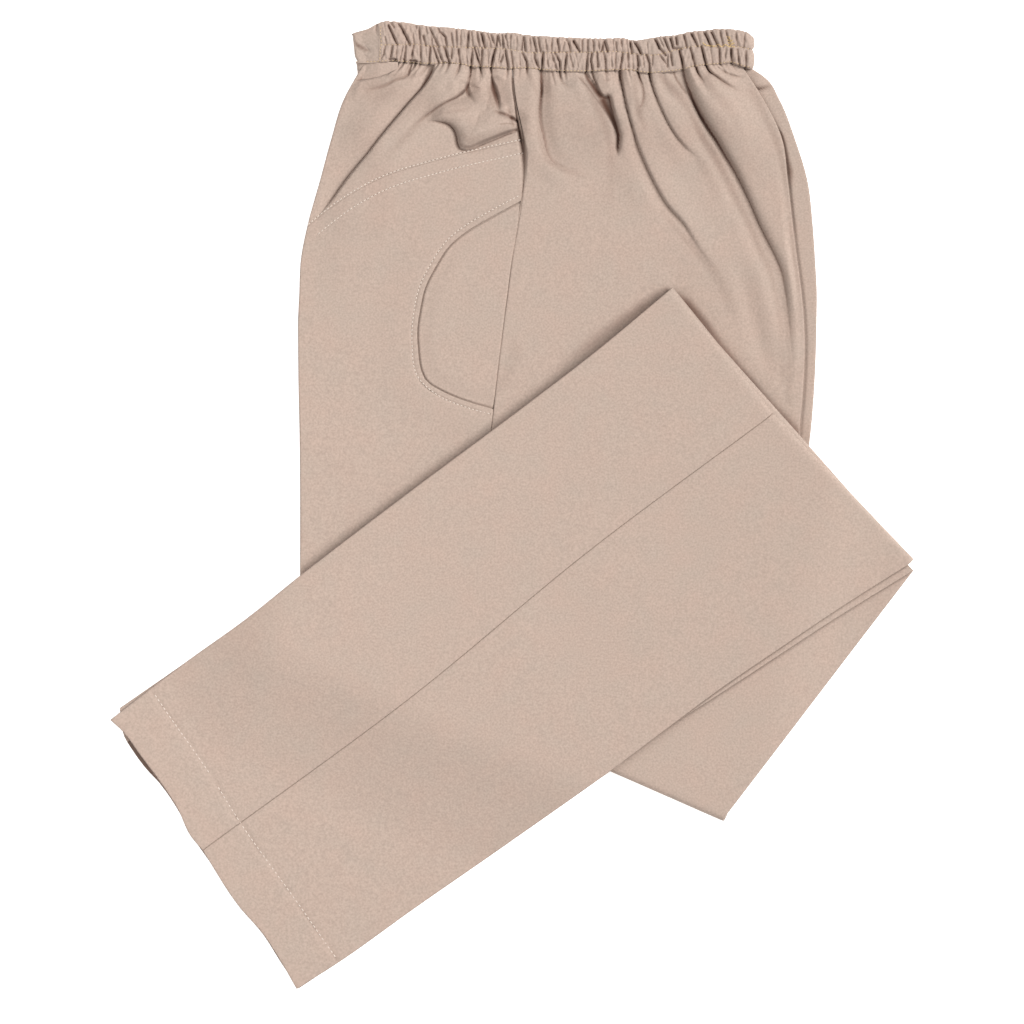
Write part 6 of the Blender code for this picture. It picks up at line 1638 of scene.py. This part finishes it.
def ring(start, end, side, upper_step, lower_step, row_count, rise):
    """Points and faces of one piece of the waistband: a wall with rounded edges round its part of the
    loop."""
    runs, upper = loop_runs(start, end, upper_step, lower_step)
    across, height, direction = loop_section(runs, start, end, side)
    radius, half = BAND_HEIGHT / 2, BAND_WALL / 2
    turn = np.clip((runs - upper) / radius, 0.0, np.pi)
    shown = ease((np.pi - turn) / (0.45 * np.pi))
    unrolled = start + side * np.minimum(runs, upper + np.pi * radius)
    top, bottom = band_edge(BAND_TOP)(across), band_edge(BAND_BOTTOM)(across)
    wide = (bottom - top)[None]
    distance = ring_rows(wide, row_count)
    inset = (half - np.minimum(distance, wide - distance)).clip(0.0, half)
    drop = half - np.sqrt(half**2 - inset**2)
    level = np.clip(1.0 - drop / half, 0.0, 1.0) ** 0.5
    lift = rise(np.stack([unrolled[None] * np.ones(distance.shape), top + distance], -1)) * shown
    shift = scallops(unrolled, shown, top, bottom, distance, wide)
    back = slice(None, None, -SHELL_EVERY)
    down = np.concatenate([top + distance + shift, (top + distance + shift)[back]])
    out = np.concatenate([lift * level - drop, (drop - BAND_WALL)[back]])
    place = np.stack([
        ring_edge(across + direction[:, 0] * out, down),
        -down,
        height + direction[:, 1] * out,
    ], -1)
    weave = np.stack(np.broadcast_arrays(runs[None], down), -1).reshape(-1, 2) * MM
    steps = (float(wide.mean()) / len(distance), abs(runs[1] - runs[0]))
    reaches = [max(1, int(round(SHADE_PAINT_REACH / step))) for step in steps]
    # Painted shade in the band's pleats, from their depth.
    hollow = painted_crease_shade(np.concatenate([lift, lift[back]]), *reaches)
    hollow[:2] = hollow[-2:] = 0.0
    size = (float(wide.mean()) * MM, float(runs[-1]) * MM)
    return place.reshape(-1, 3), ring_faces(*down.shape, side), weave, hollow, size


def plain_tongue():
    """The plain piece's cloth below its lower row of stitches, which turns down at its end."""
    shares = np.linspace(0.0, 1.0, 16)[:, None]
    down = TONGUE_TOP + (TONGUE_BOTTOM - TONGUE_TOP) * shares
    end = ring_edge(np.array(BAND_START), down) + TONGUE_INSET
    flat = np.linspace(TONGUE_RIGHT, 0.0, 26)[None]
    turn = np.linspace(0.0, 2.1, 12)[None, 1:]
    level = flat * 0.0 + 0.0 * down
    turned = 0.0 * down
    across = np.concatenate([end + TONGUE_RADIUS + flat * (1.0 - (end + TONGUE_RADIUS) / TONGUE_RIGHT),
                             end + TONGUE_RADIUS * (1.0 - np.sin(turn))], axis=1)
    out = np.concatenate([level, turned - np.sin(turn)], axis=1)
    up = np.concatenate([level + 1.0, turned + np.cos(turn)], axis=1)
    height = np.concatenate([level, turned + TONGUE_RADIUS * (np.cos(turn) - 1.0)], axis=1)
    slope = PLAIN_SLOPE * np.clip(BAND_PLAIN_END - across, 0.0, None)
    height = height + TONGUE_HEIGHT - slope - 0.7 * shares - 0.5 * np.exp(-(down - TONGUE_TOP) / 1.2)
    down = down + 0.0 * across
    outer = np.stack([across, -down, height], -1)
    inner = np.stack([across - out * CLOTH, -down, height - up * CLOTH], -1)
    rows, columns = outer.shape[:2]
    faces = shell_faces(rows, columns, np.arange(rows), np.arange(columns))
    weave = np.stack([across, down], -1).reshape(-1, 2) * MM
    return np.concatenate([outer.reshape(-1, 3), inner.reshape(-1, 3)]), faces, np.concatenate([weave, weave])


def waistband():
    """The gathered band, all round, and its plain front piece with the cloth below it."""
    points, faces, weave, hollow, size = ring(BAND_PLAIN_END, BAND_END, 1, 0.31, 4.0, 64, gathered_rise)
    width, length = size
    piece = add_mesh("waistband_elastic_cloth", points, faces, weave, hollow)
    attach(piece, "root")
    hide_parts("waistband_elastic")
    PIECES[piece.name] = piece

    points, faces, weave, hollow, size = ring(BAND_PLAIN_END - 0.1, BAND_START, -1, 0.5, 3.0, 44, plain_rise)
    width, length = size
    more, more_faces, more_weave = plain_tongue()
    faces += [[corner + len(points) for corner in face] for face in more_faces]
    piece = add_mesh("waistband_front_cloth", np.concatenate([points, more]), faces,
                     np.concatenate([weave, more_weave]), hollow)
    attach(piece, "root")
    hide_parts("waistband_front")
    PIECES[piece.name] = piece


# --------------------------------------------------------------------------------------------------- sewing

def evenly(path, pitch, start=0.0, end=0.0):
    """Places along a smooth path this far apart, and its direction there."""
    line = traced(40 * len(path), *path)
    steps = np.hypot(*np.diff(line, axis=0).T)
    along = np.concatenate([[0.0], np.cumsum(steps)])
    at = np.arange(start + pitch / 2, along[-1] - end, pitch)
    places = np.stack([np.interp(at, along, line[:, k]) for k in (0, 1)], -1)
    ahead = np.stack([np.interp(np.minimum(at + 0.2, along[-1]), along, line[:, k]) for k in (0, 1)], -1)
    behind = np.stack([np.interp(np.maximum(at - 0.2, 0.0), along, line[:, k]) for k in (0, 1)], -1)
    run = ahead - behind
    return places, run / np.hypot(*run.T)[:, None]


Row = namedtuple("Row", "places directions heights tilts length width")


def bead(centre, direction, height, tilt, row, profile):
    """Points of one stitch or painted needle-hole shade: rings along its length, on cloth that slopes by
    tilt.
    """
    turns = np.linspace(0.0, 2 * np.pi, BEAD_SIDES, endpoint=False)
    side = np.array([-direction[1], direction[0]])
    rings = []
    for station, girth, sink in zip(*profile):
        middle = centre + direction * station * row.length
        offset = np.cos(turns) * girth * row.width / 2
        rise = height + tilt * station * row.length - sink * row.width + np.sin(turns) * girth * row.width / 2
        rings.append(np.stack([middle[0] + side[0] * offset, -(middle[1] + side[1] * offset), rise], -1))
    return np.concatenate(rings)


def bead_faces(first, count):
    """Faces of one bead with this many rings, whose points start at first."""
    faces = []
    for k in range(count - 1):
        near_ring, far_ring = first + k * BEAD_SIDES, first + (k + 1) * BEAD_SIDES
        for r in range(BEAD_SIDES):
            following = (r + 1) % BEAD_SIDES
            faces.append([near_ring + r, near_ring + following, far_ring + following, far_ring + r])
    faces.append([first + r for r in range(BEAD_SIDES)][::-1])
    faces.append([first + (count - 1) * BEAD_SIDES + r for r in range(BEAD_SIDES)])
    return faces


def bead_mesh(name, rows, material, profile=STITCH, shift=0.0):
    """All the beads of the rows as one joined mesh. Shift moves them along by a share of their length."""
    count = len(profile.stations)
    points, faces = [], []
    for row in rows:
        for centre, direction, height, tilt in zip(row.places, row.directions, row.heights, row.tilts):
            faces += bead_faces(len(points) * BEAD_SIDES * count, count)
            moved = centre + direction * shift * row.length
            points.append(bead(moved, direction, height, tilt, row, profile))
    piece = add_mesh(name, np.concatenate(points), faces)
    piece.data.materials.append(material)
    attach(piece, "root")


def on_cloth(path, height_at, start=0.0, end=0.0,
             pitch=STITCH_PITCH, length=STITCH_LENGTH, width=STITCH_WIDTH):
    """A row of stitches along a path, lying on the cloth."""
    probe = 0.6
    places, directions = evenly(path, pitch, start, end)
    heights = height_at(places)
    ahead = height_at(places + directions * probe)
    behind = height_at(places - directions * probe)
    tilts = (ahead - behind) / (2 * probe)
    return Row(places, directions, heights + STITCH_LIFT * width, tilts, length, width)


def beside(line, distance):
    """A line this far to the left of one that runs down, or below one that runs to the right."""
    points = traced(12, *line)
    run = np.gradient(points, axis=0)
    left = np.stack([-run[:, 1], run[:, 0]], -1) / np.hypot(*run.T)[:, None]
    return points + left * distance


def front_height(points):
    """Height of the left leg's front panel."""
    return STACK + front_rise(points)


def yoke_height(points):
    """Height of the left leg's yoke."""
    return STACK + yoke_rise(points)


def shin_height(points):
    """Height of the left leg's shin."""
    return SHIN_BASE + STACK - shin_sag(points) + shin_rise(points)


def gathered_height(points):
    """Height of the gathered band."""
    return BAND_HEIGHT + gathered_rise(points)


def plain_height(points):
    """Height of the band's plain piece."""
    return BAND_HEIGHT + plain_rise(points)


def along_band(share, first, last):
    """A line along the waistband, this share of the way from its top edge to its bottom edge."""
    across = np.linspace(first, last, 60)
    top, bottom = band_edge(BAND_TOP)(across), band_edge(BAND_BOTTOM)(across)
    return np.stack([across, top + share * (bottom - top)], -1)


def band_rows():
    """Rows of the waistband: along its middle and its lower edge, and down beside the plain piece."""
    across = np.linspace(46.8, 257.5, 90)
    middle = np.stack([across, band_edge(BAND_MIDDLE)(across)], -1)
    return [
        on_cloth(middle, gathered_height, **BAND_STITCH),
        on_cloth(along_band(BAND_LOW_ROW, 47.0, 257.0), gathered_height, **BAND_STITCH),
        on_cloth(along_band(BAND_LOW_ROW, 32.5, 45.5), plain_height, **BAND_STITCH),
        on_cloth(PLAIN_ROW, gathered_height, **BAND_STITCH),
    ]


def bartack_rows():
    """The dense zigzag that fastens the elastic at the back."""
    return [on_cloth(path, gathered_height, **BARTACK_STITCH) for path in (BARTACK, BARTACK_ROW)]


def sewing():
    """All the rows of stitches, with their needle holes as dark beads of painted shade."""
    cream = thread_material("thread_cream", CREAM_THREAD)
    straw = thread_material("thread_straw", STRAW_THREAD)
    gold = thread_material("thread_gold", GOLD_THREAD)
    # The needle holes' dark beads are painted shade.
    hole = thread_material("needle_hole_shade", NEEDLE_HOLE_SHADE)
    rows = [
        on_cloth(beside(YOKE_SEAM, YOKE_ROW_LOW), front_height, 2.0, 1.0),
        on_cloth(beside(YOKE_SEAM, -YOKE_ROW_HIGH), yoke_height, 1.0, 1.0),
        on_cloth(beside(POCKET_MOUTH, POCKET_ROW), front_height, 0.5, 0.5),
        on_cloth(HEM_STITCHES[0], shin_height, 2.5, 0.0, **HEM_STITCH),
        on_cloth(HEM_STITCHES[1], shin_height, 0.0, 2.5, **HEM_STITCH),
    ]
    bead_mesh("stitches", rows, cream)
    bead_mesh("stitch_hole_shade", rows, hole, HOLE_SHADE_BEAD, HOLE_SHADE_SHIFT)
    rows = band_rows()
    bead_mesh("waistband_stitches", rows, straw)
    bead_mesh("waistband_stitch_hole_shade", rows, hole, HOLE_SHADE_BEAD, HOLE_SHADE_SHIFT)
    bead_mesh("bartack", bartack_rows(), gold)


# --------------------------------------------------------------------------------------------------- finish

def add_node(tree, kind, **inputs):
    """A shader node of this kind with these input values. An underscore in a name stands for a space."""
    node = tree.nodes.new(f"ShaderNode{kind}")
    for name, value in inputs.items():
        node.inputs[name.replace("_", " ")].default_value = value
    return node


def cloth_material(name, colour):
    """Warm beige twill with a fine diagonal weave, slightly mottled, and with painted shade in its creases.
    """
    material = bpy.data.materials.new(name)
    material.use_nodes = True
    tree = material.node_tree
    link = tree.links.new
    shader = tree.nodes["Principled BSDF"]
    shader.inputs["Roughness"].default_value = 0.82
    shader.inputs["Specular IOR Level"].default_value = 0.25
    shader.inputs["Sheen Weight"].default_value = 0.12
    shader.inputs["Sheen Roughness"].default_value = 0.5

    weave = add_node(tree, "UVMap")
    weave.uv_map = "weave"
    wave = add_node(tree, "TexWave", Scale=240.0, Distortion=1.2, Detail=2.0)
    wave.bands_direction = "DIAGONAL"
    bump = add_node(tree, "Bump", Strength=0.12, Distance=0.00015)
    link(weave.outputs["UV"], wave.inputs["Vector"])
    link(wave.outputs["Fac"], bump.inputs["Height"])
    link(bump.outputs["Normal"], shader.inputs["Normal"])

    warm = [value * factor for value, factor in zip(colour, (1.05, 1.0, 0.99))]
    cool = [value * factor for value, factor in zip(colour, (0.95, 1.0, 1.01))]
    place = add_node(tree, "TexCoord")
    blotch = add_node(tree, "TexNoise", Scale=60.0, Detail=3.0)
    ramp = add_node(tree, "MixRGB", Color1=(*warm, 1.0), Color2=(*cool, 1.0))
    link(place.outputs["Object"], blotch.inputs["Vector"])
    link(blotch.outputs["Fac"], ramp.inputs["Fac"])

    fleck = add_node(tree, "TexNoise", Scale=900.0, Detail=2.0)
    tones = add_node(tree, "MapRange", To_Min=1.0 - FLECK_CONTRAST, To_Max=1.0 + FLECK_CONTRAST)
    flecked = add_node(tree, "MixRGB", Fac=1.0)
    flecked.blend_type = "MULTIPLY"
    link(place.outputs["Object"], fleck.inputs["Vector"])
    link(fleck.outputs["Fac"], tones.inputs["Value"])
    link(ramp.outputs["Color"], flecked.inputs["Color1"])
    link(tones.outputs["Result"], flecked.inputs["Color2"])

    # Painted shade: the hollow attribute darkens the colour towards the painted shade tint.
    crease = add_node(tree, "Attribute")
    crease.attribute_name = "hollow"
    shade = add_node(tree, "MixRGB", Color2=(*PAINTED_SHADE_TINT, 1.0))
    shade.blend_type = "MULTIPLY"
    link(crease.outputs["Fac"], shade.inputs["Fac"])
    link(flecked.outputs["Color"], shade.inputs["Color1"])
    link(shade.outputs["Color"], shader.inputs["Base Color"])
    return material


def thread_material(name, colour):
    """Slightly uneven thread of this colour."""
    material = bpy.data.materials.new(name)
    material.use_nodes = True
    tree = material.node_tree
    shader = tree.nodes["Principled BSDF"]
    shader.inputs["Roughness"].default_value = 0.6
    darker = [value * 0.85 for value in colour]
    noise = add_node(tree, "TexNoise", Scale=700.0)
    mix = add_node(tree, "MixRGB", Color1=(*colour, 1.0), Color2=(*darker, 1.0))
    tree.links.new(noise.outputs["Fac"], mix.inputs["Fac"])
    tree.links.new(mix.outputs["Color"], shader.inputs["Base Color"])
    return material


def finish_cloth():
    """Twill on every cloth piece, with a darker copy on the gathered band as painted shade for its gathers.
    """
    twill = cloth_material("twill", TWILL)
    band = cloth_material("twill_band", BAND_TWILL_SHADED)
    for name, piece in PIECES.items():
        piece.data.materials.append(band if name.startswith("waistband_elastic") else twill)


# ----------------------------------------------------------------------------------------------- the studio

def add_light(name, place, size, power):
    """A square soft light at this place, facing the middle of the floor."""
    lamp = bpy.data.lights.new(name, "AREA")
    lamp.shape = "SQUARE"
    lamp.size = size
    lamp.energy = power
    light = bpy.data.objects.new(name, lamp)
    light.location = place
    light.rotation_euler = (-Vector(place)).to_track_quat("-Z", "Y").to_euler()
    bpy.context.scene.collection.objects.link(light)


def add_floor():
    """A large white floor that glows a little, so that it stays white."""
    material = bpy.data.materials.new("floor_white")
    material.use_nodes = True
    shader = material.node_tree.nodes["Principled BSDF"]
    shader.inputs["Base Color"].default_value = (0.9, 0.9, 0.9, 1.0)
    shader.inputs["Roughness"].default_value = 0.9
    shader.inputs["Specular IOR Level"].default_value = 0.1
    shader.inputs["Emission Color"].default_value = (1.0, 1.0, 1.0, 1.0)
    shader.inputs["Emission Strength"].default_value = FLOOR_GLOW
    mesh = bpy.data.meshes.new("floor")
    corners = [(x * FLOOR_REACH, y * FLOOR_REACH, 0.0) for x, y in ((-1, -1), (1, -1), (1, 1), (-1, 1))]
    mesh.from_pydata(corners, [], [(0, 1, 2, 3)])
    mesh.materials.append(material)
    floor = bpy.data.objects.new("floor", mesh)
    bpy.context.scene.collection.objects.link(floor)


def add_world():
    """A white world that lifts the shadows."""
    world = bpy.data.worlds.new("studio")
    world.use_nodes = True
    background = world.node_tree.nodes["Background"]
    background.inputs["Color"].default_value = (1.0, 1.0, 1.0, 1.0)
    background.inputs["Strength"].default_value = WORLD_GLOW
    bpy.context.scene.world = world


def add_camera():
    """A long lens straight above."""
    lens = bpy.data.cameras.new("camera")
    lens.sensor_width = SENSOR
    lens.lens = SENSOR * (CAMERA[2] - CLOTH_HEIGHT) / FRAME_WIDTH
    lens.clip_end = 4 * CAMERA[2]
    camera = bpy.data.objects.new("camera", lens)
    camera.location = CAMERA
    bpy.context.scene.collection.objects.link(camera)
    bpy.context.scene.camera = camera


def studio():
    """White floor and world, a large soft light from the right, a weak one from the left, and the camera."""
    add_floor()
    add_world()
    add_light(*SOFTBOX)
    add_light(*FILL)
    add_camera()
    bpy.context.scene.view_settings.view_transform = "Standard"


def main():
    """Everything: the cloth, the sewing, its finish and the studio."""
    waistband()
    yoke_left()
    front_left_thigh()
    pocket_facing_left()
    back_left_thigh()
    right_thigh()
    for leg in LEGS:
        knee(leg)
        shin(leg)
    inner_halves()
    sewing()
    finish_cloth()
    studio()


main()
